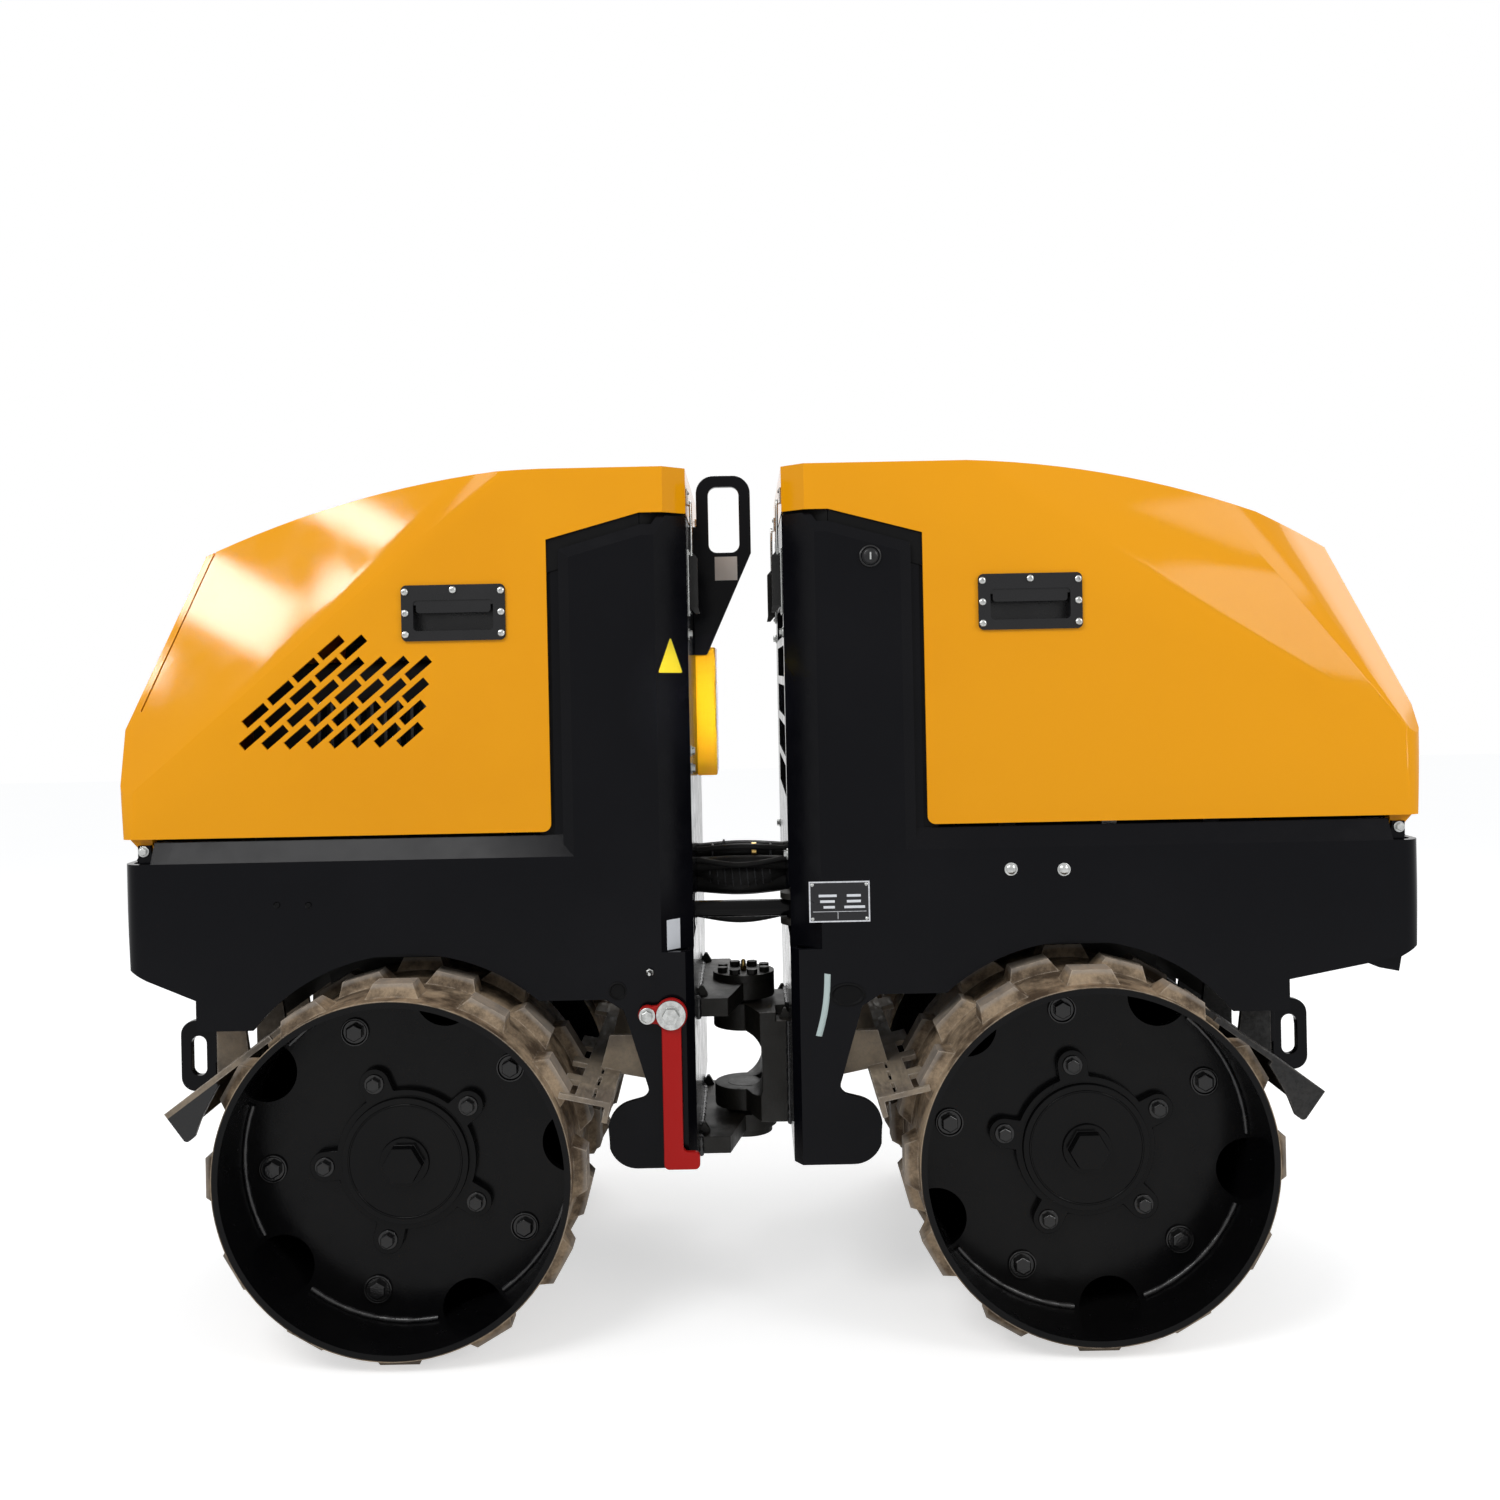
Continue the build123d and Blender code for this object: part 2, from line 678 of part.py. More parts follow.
def hood_handles(half):
    """The recessed grab handle on each side of the hood."""
    u, z = half["handle"]
    plate_face = Pos(u, z) * RectangleRounded(156, 84, 8)
    recess = Pos(u, z - 4) * RectangleRounded(126, 52, 8)
    outer_y = -hood_half_width
    bezel = slab(plate_face, outer_y - 4, outer_y) + slab(recess, outer_y - 4, outer_y + 30)
    bezel -= slab(Pos(u, z - 4) * RectangleRounded(120, 46, 6), outer_y - 5, outer_y + 27)
    grip = slab(Pos(u, z + 10) * RectangleRounded(112, 20, 5), outer_y - 2, outer_y + 4)
    web = slab(Pos(u, z + 16) * Rectangle(122, 8), outer_y - 2, outer_y + 28)
    return both_sides(bezel + grip + web)


# hinge


def lug_plan(sign, half_width):
    """A lug seen from above: straight at its root, then narrowing to the boss on the hinge."""
    root = sign * hinge_gap_half
    straight = sign * lug_straight_x
    tangent = boss_radius * 0.9
    face = outline(
        (root, half_width),
        (straight, half_width),
        (0, tangent),
        (0, -tangent),
        (straight, -half_width),
        (root, -half_width),
    )
    return face + Circle(boss_radius)


def lug_plate(low_z, high_z, sign, half_width):
    """A lug made solid between two heights."""
    return Pos(0, 0, low_z) * extrude(lug_plan(sign, half_width), high_z - low_z, dir=(0, 0, 1))


def rear_lugs():
    """The two lugs on the rear frame's bulkhead."""
    body = lug_plate(*upper_lug_z, -1, lug_half_width) + lug_plate(*lower_lug_z, -1, lug_half_width)
    return body - post(pin_radius, 0, deck_z)


def hinge_pins():
    """The two hinge pins, the upper one with its bolted cap."""
    cap_z = upper_lug_z[1]
    upper = post(pin_radius, yoke_upper_z[0], cap_z) + post(pin_cap_radius, cap_z, cap_z + pin_cap_height)
    for n in range(8):
        turn = Rot(0, 0, 45 * n + 22.5) * Pos(38, 0, cap_z + pin_cap_height)
        upper += turn * extrude(RegularPolygon(9, 6), 8)
    lower = post(pin_radius, lower_lug_z[0] - 12, yoke_lower_z[1])
    lower += post(pin_cap_radius - 8, lower_lug_z[0] - 12, lower_lug_z[0])
    return upper + lower


def yoke():
    """The front frame's cast yoke: upper arm, lower ring and the web between them, round a clear window."""
    low, high = yoke_lower_z[0], yoke_upper_z[1]
    body = lug_plate(low, high, 1, yoke_half_width)
    opening = outline(
        (-boss_radius - 5, yoke_lower_z[1]),
        (yoke_web_x, yoke_lower_z[1]),
        (yoke_web_x, yoke_upper_z[0]),
        (-boss_radius - 5, yoke_upper_z[0]),
    )
    corner = [v for v in opening.vertices() if v.X > 0]
    body -= slab(fillet(corner, 18), -yoke_half_width - 1, yoke_half_width + 1)
    # the upper arm's outer corners sit lower than its boss
    shelf = block(boss_radius, hinge_gap_half + 1, 60, yoke_half_width + 1, high - 14, high + 1)
    body -= both_sides(shelf)
    body += post(boss_radius, *yoke_upper_z) + post(boss_radius, *yoke_lower_z)
    return body - post(pin_radius + running_gap, 0, deck_z)


def lifting_eye():
    """The single-point lifting plate on the rear frame's bulkhead."""
    root = -hinge_gap_half
    top_z = tower_top_z + 96
    face = outline(
        (root, tower_top_z - 208),
        (root + 22, tower_top_z - 208),
        (27, tower_top_z - 36),
        (27, top_z),
        (root + 8, top_z),
        (root + 8, tower_top_z + 10),
        (root, tower_top_z + 10),
    )
    top = [v for v in face.vertices() if v.Y > top_z - 1]
    face = fillet(top, 30)
    slot = Pos(-18.5, tower_top_z + 21) * RectangleRounded(52, 111, 14)
    return slab(face - slot, -8, 8)


def lock_bar():
    """The articulation lock, hung beside the rear frame, with its ear and hooked foot."""
    x, z = lock_pivot_x, lock_pivot_z
    half = lock_bar_width / 2
    bottom = z - lock_bar_length
    shank = outline(
        (x - half, z),
        (x - half, bottom),
        (x + 39, bottom),
        (x + 39, bottom + 26),
        (x + half, bottom + 26),
        (x + half, z),
    )
    foot = [v for v in shank.vertices() if v.Y < z - 1]
    face = fillet(foot, 8) + Pos(x, z) * Circle(24)
    face += Pos(x - 35, z) * Circle(14)
    face += outline((x - 35, z - 12), (x, z - 16), (x, z + 16), (x - 35, z + 12))
    outer = -frame_half_width - lock_stand_off
    body = slab(face, outer - lock_bar_thickness, outer)
    return body - rod(8 + running_gap, outer - 20, outer + 5, x, z)


def lock_bolt():
    """The lock bar's pivot bolt with its large washer and spacer."""
    x, z = lock_pivot_x, lock_pivot_z
    face_y = -frame_half_width
    bar_y = face_y - lock_stand_off - lock_bar_thickness
    spacer_y = face_y - lock_stand_off + 0.3
    body = rod(8, bar_y - 6, face_y, x, z) + rod(14, spacer_y, face_y, x, z)
    body += rod(22, bar_y - 4.3, bar_y - 0.3, x, z)
    head = slab(Pos(x, z) * RegularPolygon(13, 6), bar_y - 14, bar_y - 4.3)
    return body + head


def receiver_box():
    """The yellow box on the rear frame's bulkhead, far enough in to clear the front frame on lock."""
    return block(-hinge_gap_half, -38, 40, 185, deck_z + 238, deck_z + 460)


def hoses():
    """The hydraulic hoses that cross the hinge through the bulkheads' windows."""
    reach = hinge_gap_half + 40
    body = [lying(radius, -reach, reach, y, deck_z + rise) for y, rise, radius in hose_places]
    return Compound(children=body)


# steering cylinder


def steering_barrel():
    """The cylinder's barrel with its eye, which turns on the rear frame's anchor pin."""
    eye = post(eye_radius, cylinder_z - eye_half, cylinder_z + eye_half, *cylinder_anchor)
    start = cylinder_anchor[0] + eye_radius - 6
    end = cylinder_anchor[0] + barrel_reach
    axis_y = cylinder_anchor[1]
    body = eye + lying(barrel_radius, start, end, axis_y, cylinder_z)
    body += lying(barrel_radius + 4, end - 24, end, axis_y, cylinder_z)
    body -= post(anchor_pin_radius + running_gap, deck_z, hood_bottom_z, *cylinder_anchor)
    return body - lying(rod_radius + running_gap, start + 14, end + 5, axis_y, cylinder_z)


def steering_rod():
    """The cylinder's rod with its eye and the pin that the front clevis holds."""
    x, y = cylinder_pin
    shaft = lying(rod_radius, x - rod_length, x - eye_radius + 6, y, cylinder_z)
    return shaft + post(eye_radius, cylinder_z - eye_half, cylinder_z + eye_half, x, y)


def steering_anchor():
    """The anchor bracket and pin on the rear frame's deck."""
    x, y = cylinder_anchor
    low = cylinder_z - eye_half - fork_gap
    high = cylinder_z + eye_half + fork_gap
    foot_z = deck_z + plate
    fork = block(x - 52, x + 14, y - 30, y + 30, low - 9, low)
    fork += block(x - 52, x + 14, y - 30, y + 30, high, high + 9)
    fork += block(x - 62, x - 52, y - 30, y + 30, foot_z, high + 9)
    fork += post(anchor_pin_radius, low - 9, high + 9, x, y) + post(19, high + 9, high + 15, x, y)
    return fork


def steering_clevis():
    """The clevis on the front frame's deck. The rod's eye lies between its two plates."""
    x, y = cylinder_pin
    low = cylinder_z - eye_half - fork_gap
    high = cylinder_z + eye_half + fork_gap
    foot_z = deck_z + plate
    back = x + 58
    body = block(back, back + 12, y - 42, y + 42, foot_z, high + 9)
    for level in (low - 9, high):
        leaf = block(x, back, y - 34, y + 34, level, level + 9)
        body += leaf + post(34, level, level + 9, x, y)
    return body + post(19, high + 9, high + 15, x, y)


# assembly

front = {
    "end": front_frame_end,
    "nose": (front_hood_reach, hood_bottom_z + 164),
    "kink": (front_hood_reach - 79, hood_top_z - 129),
    "arc_start": tower_u + 74,
    "crease": ((tower_u + 74, hood_top_z), (front_frame_end - 1, hood_bottom_z + 124)),
    "nose_facet": (
        (front_hood_reach - 211, 97 - hood_half_width, hood_top_z - 82),
        (front_hood_reach - 22, 4 - hood_half_width, hood_bottom_z + 132),
        (front_hood_reach - 72, 172 - hood_half_width, hood_top_z - 134),
    ),
    "handle": (tower_u + 165, handle_z),
    "hub_phase": 28.0,
    "vented": False,
    "louvred": True,
    "window_reach": (67.0, 85.0),
}
rear = {
    "end": rear_frame_end,
    "nose": (rear_hood_reach, hood_bottom_z + 164),
    "kink": (rear_hood_reach - 102, hood_top_z - 112),
    "arc_start": tower_u - 20,
    "crease": ((tower_u + 81, hood_top_z - 6), (rear_frame_end + 4, hood_bottom_z + 55)),
    "handle": (tower_u + 145, handle_z),
    "hub_phase": -14.0,
    "vented": True,
    "louvred": False,
    "window_reach": (61.0, 61.0),
}


def to_rear(piece):
    """The rear half is the front half's mirror image."""
    return mirror(piece, about=Plane.YZ)


def build():
    """Every piece by its node name, with the hinge at X 0."""
    shaft = axle()
    case = gear_housing()
    outer_seat = (deck_z, deck_z - 36)
    outer_scraper = scraper(outer_scraper_shape, outer_scraper_reach(), leg_u - plate, outer_seat, True)
    bulkhead_u = 2 * axle_u - hinge_gap_half - plate
    inner_seat = (axle_z + 77, axle_z + 157)
    inner_scraper = scraper(inner_scraper_shape, inner_scraper_reach, bulkhead_u, inner_seat, False)
    inner_scraper = mirror(inner_scraper, about=Plane.YZ.offset(axle_u))
    pieces = {}
    for name, half, turn in (("front", front, lambda p: p), ("rear", rear, to_rear)):
        axle_place = Pos(axle_u, 0, axle_z)
        drum_right = drum(half["hub_phase"])
        cover_right = hub_cover(half["hub_phase"])
        pieces[name + "_drum_right"] = turn(axle_place * drum_right)
        pieces[name + "_drum_left"] = turn(axle_place * mirror(drum_right, about=Plane.XZ))
        pieces[name + "_hub_cover_right"] = turn(axle_place * cover_right)
        pieces[name + "_hub_cover_left"] = turn(axle_place * mirror(cover_right, about=Plane.XZ))
        pieces[name + "_axle"] = turn(axle_place * shaft)
        pieces[name + "_gear_housing"] = turn(axle_place * case)
        pieces[name + "_frame"] = turn(half_frame(half))
        pieces[name + "_tow_eyes"] = turn(tow_eyes())
        pieces[name + "_outer_scraper"] = turn(outer_scraper)
        pieces[name + "_inner_scraper"] = turn(inner_scraper)
        pieces[name + "_hood"] = turn(hood(half))
        pieces[name + "_hood_hinges"] = turn(hood_hinge_pins(half))
        pieces[name + "_hood_handles"] = turn(hood_handles(half))
    pieces["rear_hinge_lugs"] = rear_lugs()
    pieces["hinge_pins"] = hinge_pins()
    pieces["hinge_yoke"] = yoke()
    pieces["lifting_eye"] = lifting_eye()
    pieces["lock_bar"] = lock_bar()
    pieces["lock_bar_bolt"] = lock_bolt()
    pieces["receiver_box"] = receiver_box()
    pieces["hydraulic_hoses"] = hoses()
    pieces["steering_barrel"] = steering_barrel()
    pieces["steering_rod"] = steering_rod()
    pieces["steering_anchor"] = steering_anchor()
    pieces["steering_clevis"] = steering_clevis()
    engine = block(tower_u + 122, rear_frame_end - 146, -150, 230, deck_z + plate, tower_edge_z - 172)
    pieces["engine_block"] = to_rear(engine)
    tank = block(tower_u + 52, front_frame_end - 221, -230, 230, deck_z + plate, tower_edge_z - 202)
    pieces["hydraulic_tank"] = tank
    return pieces


os.makedirs("parts", exist_ok=True)
for name, piece in build().items():
    export_step(Pos(origin_shift, 0, 0) * piece, f"parts/{name}.step")
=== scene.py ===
import math

import bpy
from mathutils import Matrix, Vector


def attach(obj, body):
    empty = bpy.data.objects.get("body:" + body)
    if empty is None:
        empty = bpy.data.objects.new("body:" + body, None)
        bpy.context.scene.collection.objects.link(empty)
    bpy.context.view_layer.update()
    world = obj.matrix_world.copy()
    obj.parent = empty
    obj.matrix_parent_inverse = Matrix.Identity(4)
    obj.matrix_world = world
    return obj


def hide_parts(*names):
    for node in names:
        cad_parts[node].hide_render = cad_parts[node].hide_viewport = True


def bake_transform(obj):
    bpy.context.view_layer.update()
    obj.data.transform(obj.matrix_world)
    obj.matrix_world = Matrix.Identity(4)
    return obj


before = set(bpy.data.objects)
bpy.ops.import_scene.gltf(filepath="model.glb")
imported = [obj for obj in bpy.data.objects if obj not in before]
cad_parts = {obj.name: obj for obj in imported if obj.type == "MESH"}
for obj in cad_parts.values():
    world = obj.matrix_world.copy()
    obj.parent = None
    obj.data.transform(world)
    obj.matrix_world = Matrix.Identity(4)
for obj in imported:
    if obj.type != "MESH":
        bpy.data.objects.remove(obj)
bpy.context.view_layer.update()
print("frame loaded:", len(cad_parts), "nodes")

# every length is in metres; u runs outwards from the hinge, to the front or to the rear
layout = {
    "hingeX": -0.047,
    "axleU": 0.501,
    "axleZ": 0.273,
    "faceU": 0.073,
    "sides": {"front": 1, "rear": -1},
}


def placeX(half, u):
    return layout["hingeX"] + layout["sides"][half] * u


# camera, world and lamps


cameraSet = {"place": (-0.034, -2.470, 0.985), "roll": 1.15, "lens": 34.8, "shift": (0.0033, -0.0533)}

bpy.ops.object.camera_add(location=cameraSet["place"])
camera = bpy.context.object
camera.name = "photoCamera"
camera.rotation_euler = (math.radians(90), math.radians(cameraSet["roll"]), 0)
camera.data.lens = cameraSet["lens"]
camera.data.sensor_width = 36
camera.data.shift_x, camera.data.shift_y = cameraSet["shift"]
bpy.context.scene.camera = camera
bpy.context.scene.view_settings.view_transform = "Standard"


def addNode(tree, kind, inputs=None, **settings):
    made = tree.nodes.new("ShaderNode" + kind)
    for key, value in settings.items():
        setattr(made, key, value)
    for key, value in (inputs or {}).items():
        if isinstance(value, bpy.types.NodeSocket):
            tree.links.new(value, made.inputs[key])
        else:
            made.inputs[key].default_value = value
    return made


def times(tree, first, second, kind="MULTIPLY"):
    return addNode(tree, "Math", {0: first, 1: second}, operation=kind).outputs[0]


def seenRays(tree):
    # 1 for the rays that see the white background: camera, glossy and transmission
    ray = addNode(tree, "LightPath").outputs
    seen = times(tree, ray["Is Camera Ray"], ray["Is Glossy Ray"], "MAXIMUM")
    return times(tree, seen, ray["Is Transmission Ray"], "MAXIMUM")


lightSet = {
    "ambient": 0.58,
    # place, aim, size and power of each lamp; two sizes make a rectangle
    "lamps": {
        "keyLamp": ((-1.6, -2.6, 3.4), (-0.2, 0, 0.9), 1.6, 55),
        "fillLamp": ((2.6, -2.2, 2.2), (0.3, 0, 0.8), 1.2, 26),
        "backLamp": ((0.4, 2.8, 3.2), (0, 0, 0.8), 2.2, 45),
    },
    # a narrow beam into the gap between the halves
    "gapBeam": ((-0.052, -2.40, 1.02), (-0.082, -0.12, 0.94), 0.05, 0.14),
    "gapSpread": 7.0,
    # panes that only show as soft reflections on the paint
    "panes": {
        "paneA": ((-2.43, -1.12, 2.86), (-0.58, -0.24, 1.25), (0.42, 0.12), 7.5),
        "paneB": ((-2.46, -1.26, 2.62), (-0.57, -0.30, 1.12), (0.28, 0.17), 6.5),
        "paneC": ((-2.80, -1.04, 2.55), (-0.78, -0.22, 1.12), (0.38, 0.22), 12),
        "paneD": ((-3.04, -0.99, 2.32), (-0.92, -0.21, 1.03), (0.11, 0.13), 2.2),
        "paneE": ((2.52, -1.12, 2.82), (0.74, -0.24, 1.14), (0.8, 0.45), 6),
        "paneF": ((2.9, 0.85, 2.25), (0.88, -0.2, 1.1), (1.1, 0.9), 9),
    },
}


def buildWorld():
    world = bpy.data.worlds.new("softRoom")
    bpy.context.scene.world = world
    world.use_nodes = True
    tree = world.node_tree
    tree.nodes.clear()
    dim = addNode(tree, "Background", {"Color": (0.97, 0.985, 1, 1), "Strength": lightSet["ambient"]})
    white = addNode(tree, "Background", {"Color": (1, 1, 1, 1), "Strength": 1.0})
    mixed = addNode(tree, "MixShader", {0: seenRays(tree), 1: dim.outputs[0], 2: white.outputs[0]})
    addNode(tree, "OutputWorld", {"Surface": mixed.outputs[0]})


def addLamp(name, place, aim, size, power):
    bpy.ops.object.light_add(type="AREA", location=place)
    lamp = bpy.context.object
    lamp.name = name
    lamp.data.shape = "RECTANGLE" if isinstance(size, tuple) else "DISK"
    lamp.data.size = size[0] if isinstance(size, tuple) else size
    if isinstance(size, tuple):
        lamp.data.size_y = size[1]
    lamp.data.energy = power
    lamp.rotation_euler = (Vector(aim) - Vector(place)).to_track_quat("-Z", "Y").to_euler()
    return lamp


buildWorld()
for lampName, lampFacts in lightSet["lamps"].items():
    addLamp(lampName, *lampFacts)
for lampName, lampFacts in lightSet["panes"].items():
    addLamp(lampName, *lampFacts).visible_diffuse = False
gapBeam = addLamp("gapBeam", *lightSet["gapBeam"])
gapBeam.data.spread = math.radians(lightSet["gapSpread"])
gapBeam.visible_glossy = False


# small tools for modelling


def deselectAll():
    active = bpy.context.view_layer.objects.active
    if active and active.mode != "OBJECT":
        bpy.ops.object.mode_set(mode="OBJECT")
    bpy.ops.object.select_all(action="DESELECT")


def pick(*pieces):
    deselectAll()
    for piece in pieces:
        piece.select_set(True)
    bpy.context.view_layer.objects.active = pieces[0]
    return pieces[0]


def applyPlace(piece):
    pick(piece)
    bpy.ops.object.transform_apply(location=True, rotation=True, scale=True)
    return piece


def editParts(piece, kind, wanted):
    pick(piece)
    bpy.ops.object.mode_set(mode="EDIT")
    bpy.ops.mesh.select_mode(type=kind)
    bpy.ops.mesh.select_all(action="DESELECT")
    bpy.ops.object.mode_set(mode="OBJECT")
    for part in piece.data.polygons if kind == "FACE" else piece.data.edges:
        part.select = wanted(part)
    bpy.ops.object.mode_set(mode="EDIT")


def endEdit():
    bpy.ops.object.mode_set(mode="OBJECT")
    return bpy.context.object


def joinPieces(name, pieces):
    pick(*pieces)
    if len(pieces) > 1:
        bpy.ops.object.join()
    joined = bpy.context.object
    joined.name = name
    joined.data.name = name
    return joined


def smooth(piece, angle=35):
    pick(piece)
    bpy.ops.object.shade_smooth_by_angle(angle=math.radians(angle))
    return piece


def roundEdges(piece, width, segments=2, angle=30, clamp=True):
    pick(piece)
    soft = piece.modifiers.new("softEdges", "BEVEL")
    soft.width = width
    soft.segments = segments
    soft.limit_method = "ANGLE"
    soft.angle_limit = math.radians(angle)
    soft.use_clamp_overlap = clamp
    bpy.ops.object.modifier_apply(modifier=soft.name)
    smooth(piece, 40)
    weighted = piece.modifiers.new("evenShade", "WEIGHTED_NORMAL")
    weighted.keep_sharp = True
    bpy.ops.object.modifier_apply(modifier=weighted.name)
    return piece


def finishPiece(piece, finish, body, stands=()):
    # the slot comes with the finish
    piece.data.materials.clear()
    piece.data.materials.append(finishes[finish])
    if piece.matrix_world != Matrix.Identity(4):
        applyPlace(piece)
    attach(piece, body)
    if stands:
        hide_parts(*stands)
    return piece


def copyNode(nodeName, newName):
    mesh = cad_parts[nodeName].data.copy()
    piece = bpy.data.objects.new(newName, mesh)
    bpy.context.scene.collection.objects.link(piece)
    pick(piece)
    bpy.ops.mesh.customdata_custom_splitnormals_clear()
    bpy.ops.object.mode_set(mode="EDIT")
    bpy.ops.mesh.select_all(action="SELECT")
    bpy.ops.mesh.remove_doubles(threshold=0.00002)
    bpy.ops.mesh.mark_sharp(clear=True)
    bpy.ops.mesh.dissolve_limited(angle_limit=math.radians(0.6))
    return endEdit()


# finishes


def newGroup(name, inputs, outputs):
    tree = bpy.data.node_groups.new(name, "ShaderNodeTree")
    for label, value in inputs.items():
        kind = "NodeSocketFloat" if isinstance(value, float) else "NodeSocketColor"
        tree.interface.new_socket(label, in_out="INPUT", socket_type=kind).default_value = value
    for label in outputs:
        kind = {"Colour": "NodeSocketColor", "Normal": "NodeSocketVector"}.get(label, "NodeSocketFloat")
        tree.interface.new_socket(label, in_out="OUTPUT", socket_type=kind)
    return tree, tree.nodes.new("NodeGroupInput").outputs, tree.nodes.new("NodeGroupOutput")


def feed(tree, target, **sockets):
    for key, value in sockets.items():
        tree.links.new(value, target.inputs[key.replace("_", " ")])
    return tree


def objectCoords(tree):
    return addNode(tree, "TexCoord").outputs["Object"]


def noiseOn(tree, scale, detail=3.0, roughness=0.55, coords=None):
    inputs = {"Vector": coords or objectCoords(tree), "Scale": scale, "Detail": detail, "Roughness": roughness}
    return addNode(tree, "TexNoise", inputs).outputs["Fac"]


def ramp(tree, value, low, high, toLow=0.0, toHigh=1.0, kind="SMOOTHSTEP"):
    inputs = {"Value": value, "From Min": low, "From Max": high, "To Min": toLow, "To Max": toHigh}
    return addNode(tree, "MapRange", inputs, interpolation_type=kind).outputs["Result"]


def blendColour(tree, factor, first, second, kind="MIX"):
    return addNode(tree, "Mix", {"Factor": factor, 6: first, 7: second}, data_type="RGBA", blend_type=kind).outputs[2]


def blendValue(tree, factor, first, second):
    return addNode(tree, "Mix", {0: factor, 2: first, 3: second}).outputs[0]


def bumpOn(tree, height, strength, distance, under=None):
    inputs = {"Height": height, "Strength": strength, "Distance": distance}
    if under:
        inputs["Normal"] = under
    return addNode(tree, "Bump", inputs).outputs["Normal"]


def makePaintSkin():
    tree, given, out = newGroup(
        "paintSkin",
        {"Colour": (0.8, 0.3, 0.02, 1), "Shade": (0.6, 0.2, 0.01, 1), "Peel Scale": 420.0, "Peel Depth": 0.05,
         "Low": 0.16, "High": 0.3},
        ("Colour", "Roughness", "Normal"))
    cloud = ramp(tree, noiseOn(tree, 3.2, 4), 0.42, 0.75, 0.0, 0.6)
    rough = ramp(tree, noiseOn(tree, 24.0, 5, 0.65), 0.3, 0.7, given["Low"], given["High"], "LINEAR")
    peel = noiseOn(tree, given["Peel Scale"], 1.0, 0.5)
    return feed(tree, out, Colour=blendColour(tree, cloud, given["Colour"], given["Shade"]), Roughness=rough,
                Normal=bumpOn(tree, peel, given["Peel Depth"], 0.001))


def makeDustFilm():
    tree, given, out = newGroup(
        "dustFilm", {"Colour": (0, 0, 0, 1), "Dust": (0.25, 0.2, 0.15, 1), "Amount": 0.4, "Scale": 9.0},
        ("Colour", "Mask"))
    up = addNode(tree, "SeparateXYZ", {0: addNode(tree, "NewGeometry").outputs["Normal"]}).outputs["Z"]
    fine = ramp(tree, noiseOn(tree, 260.0, 2), 0.45, 0.75, 0.35, 1.0)
    patches = times(tree, ramp(tree, noiseOn(tree, given["Scale"], 6.0, 0.5), 0.38, 0.72), fine)
    mask = times(tree, times(tree, ramp(tree, up, 0.35, 1.0), patches), given["Amount"])
    return feed(tree, out, Mask=mask, Colour=blendColour(tree, mask, given["Colour"], given["Dust"]))


def makeEdgeRub():
    tree, given, out = newGroup("edgeRub", {"Radius": 0.003, "Break Up": 60.0, "Amount": 1.0}, ("Mask",))
    soft = addNode(tree, "Bevel", {"Radius": given["Radius"]}, samples=4)
    flat = addNode(tree, "NewGeometry").outputs["Normal"]
    dot = addNode(tree, "VectorMath", {0: soft.outputs[0], 1: flat}, operation="DOT_PRODUCT").outputs["Value"]
    broken = ramp(tree, noiseOn(tree, given["Break Up"], 5.0, 0.5), 0.35, 0.6)
    return feed(tree, out, Mask=times(tree, times(tree, ramp(tree, dot, 0.995, 0.85), broken), given["Amount"]))


def makeWornSurface():
    tree, given, out = newGroup(
        "wornSurface",
        {"Bare": (0.4, 0.33, 0.25, 1), "Soil": (0.12, 0.08, 0.05, 1), "Scale": 14.0, "Depth": 0.3},
        ("Colour", "Roughness", "Normal"))
    coords = objectCoords(tree)
    patches = noiseOn(tree, given["Scale"], 8.0, 0.65, coords)
    stretched = addNode(tree, "Mapping", {"Vector": coords, "Scale": (1.0, 0.16, 1.0)}).outputs[0]
    scratch = noiseOn(tree, 190.0, 4, 0.7, stretched)
    colour = blendColour(tree, ramp(tree, patches, 0.36, 0.64), given["Bare"], given["Soil"])
    light = blendColour(tree, 0.55, colour, addNode(tree, "ValToRGB", {"Fac": scratch}).outputs[0], "OVERLAY")
    fine = bumpOn(tree, scratch, given["Depth"], 0.0012)
    return feed(tree, out, Colour=light, Roughness=ramp(tree, scratch, 0.3, 0.7, 0.5, 0.85),
                Normal=bumpOn(tree, patches, given["Depth"], 0.004, fine))


groups = {"paintSkin": makePaintSkin(), "dustFilm": makeDustFilm(), "edgeRub": makeEdgeRub(),
          "wornSurface": makeWornSurface()}


def useGroup(tree, name, **inputs):
    made = tree.nodes.new("ShaderNodeGroup")
    made.node_tree = groups[name]
    for key, value in inputs.items():
        label = "".join(" " + letter if letter.isupper() else letter for letter in key)
        socket = made.inputs[label[0].upper() + label[1:]]
        if isinstance(value, bpy.types.NodeSocket):
            tree.links.new(value, socket)
        else:
            socket.default_value = value
    return made.outputs


def newMaterial(name, **fixed):
    material = bpy.data.materials.new(name)
    material.use_nodes = True
    shader = material.node_tree.nodes["Principled BSDF"]
    for key, value in fixed.items():
        shader.inputs[key.replace("_", " ")].default_value = value
    material.diffuse_color = shader.inputs["Base Color"].default_value
    return material, material.node_tree, shader


def makePaint(name, colour, shade, specular, rough, peel, dust=0.0, rub=None):
    colour, shade = (*colour, 1), (*shade, 1)
    material, tree, shader = newMaterial(name, Base_Color=colour, Specular_IOR_Level=specular)
    skin = useGroup(tree, "paintSkin", colour=colour, shade=shade, low=rough[0], high=rough[1], peelDepth=peel)
    final = skin["Colour"]
    if dust:
        final = useGroup(tree, "dustFilm", colour=final, amount=dust)["Colour"]
    if rub:
        final = blendColour(tree, useGroup(tree, "edgeRub", **rub["edge"])["Mask"], final, rub["colour"])
    feed(tree, shader, Base_Color=final, Roughness=skin["Roughness"], Normal=skin["Normal"])
    return material


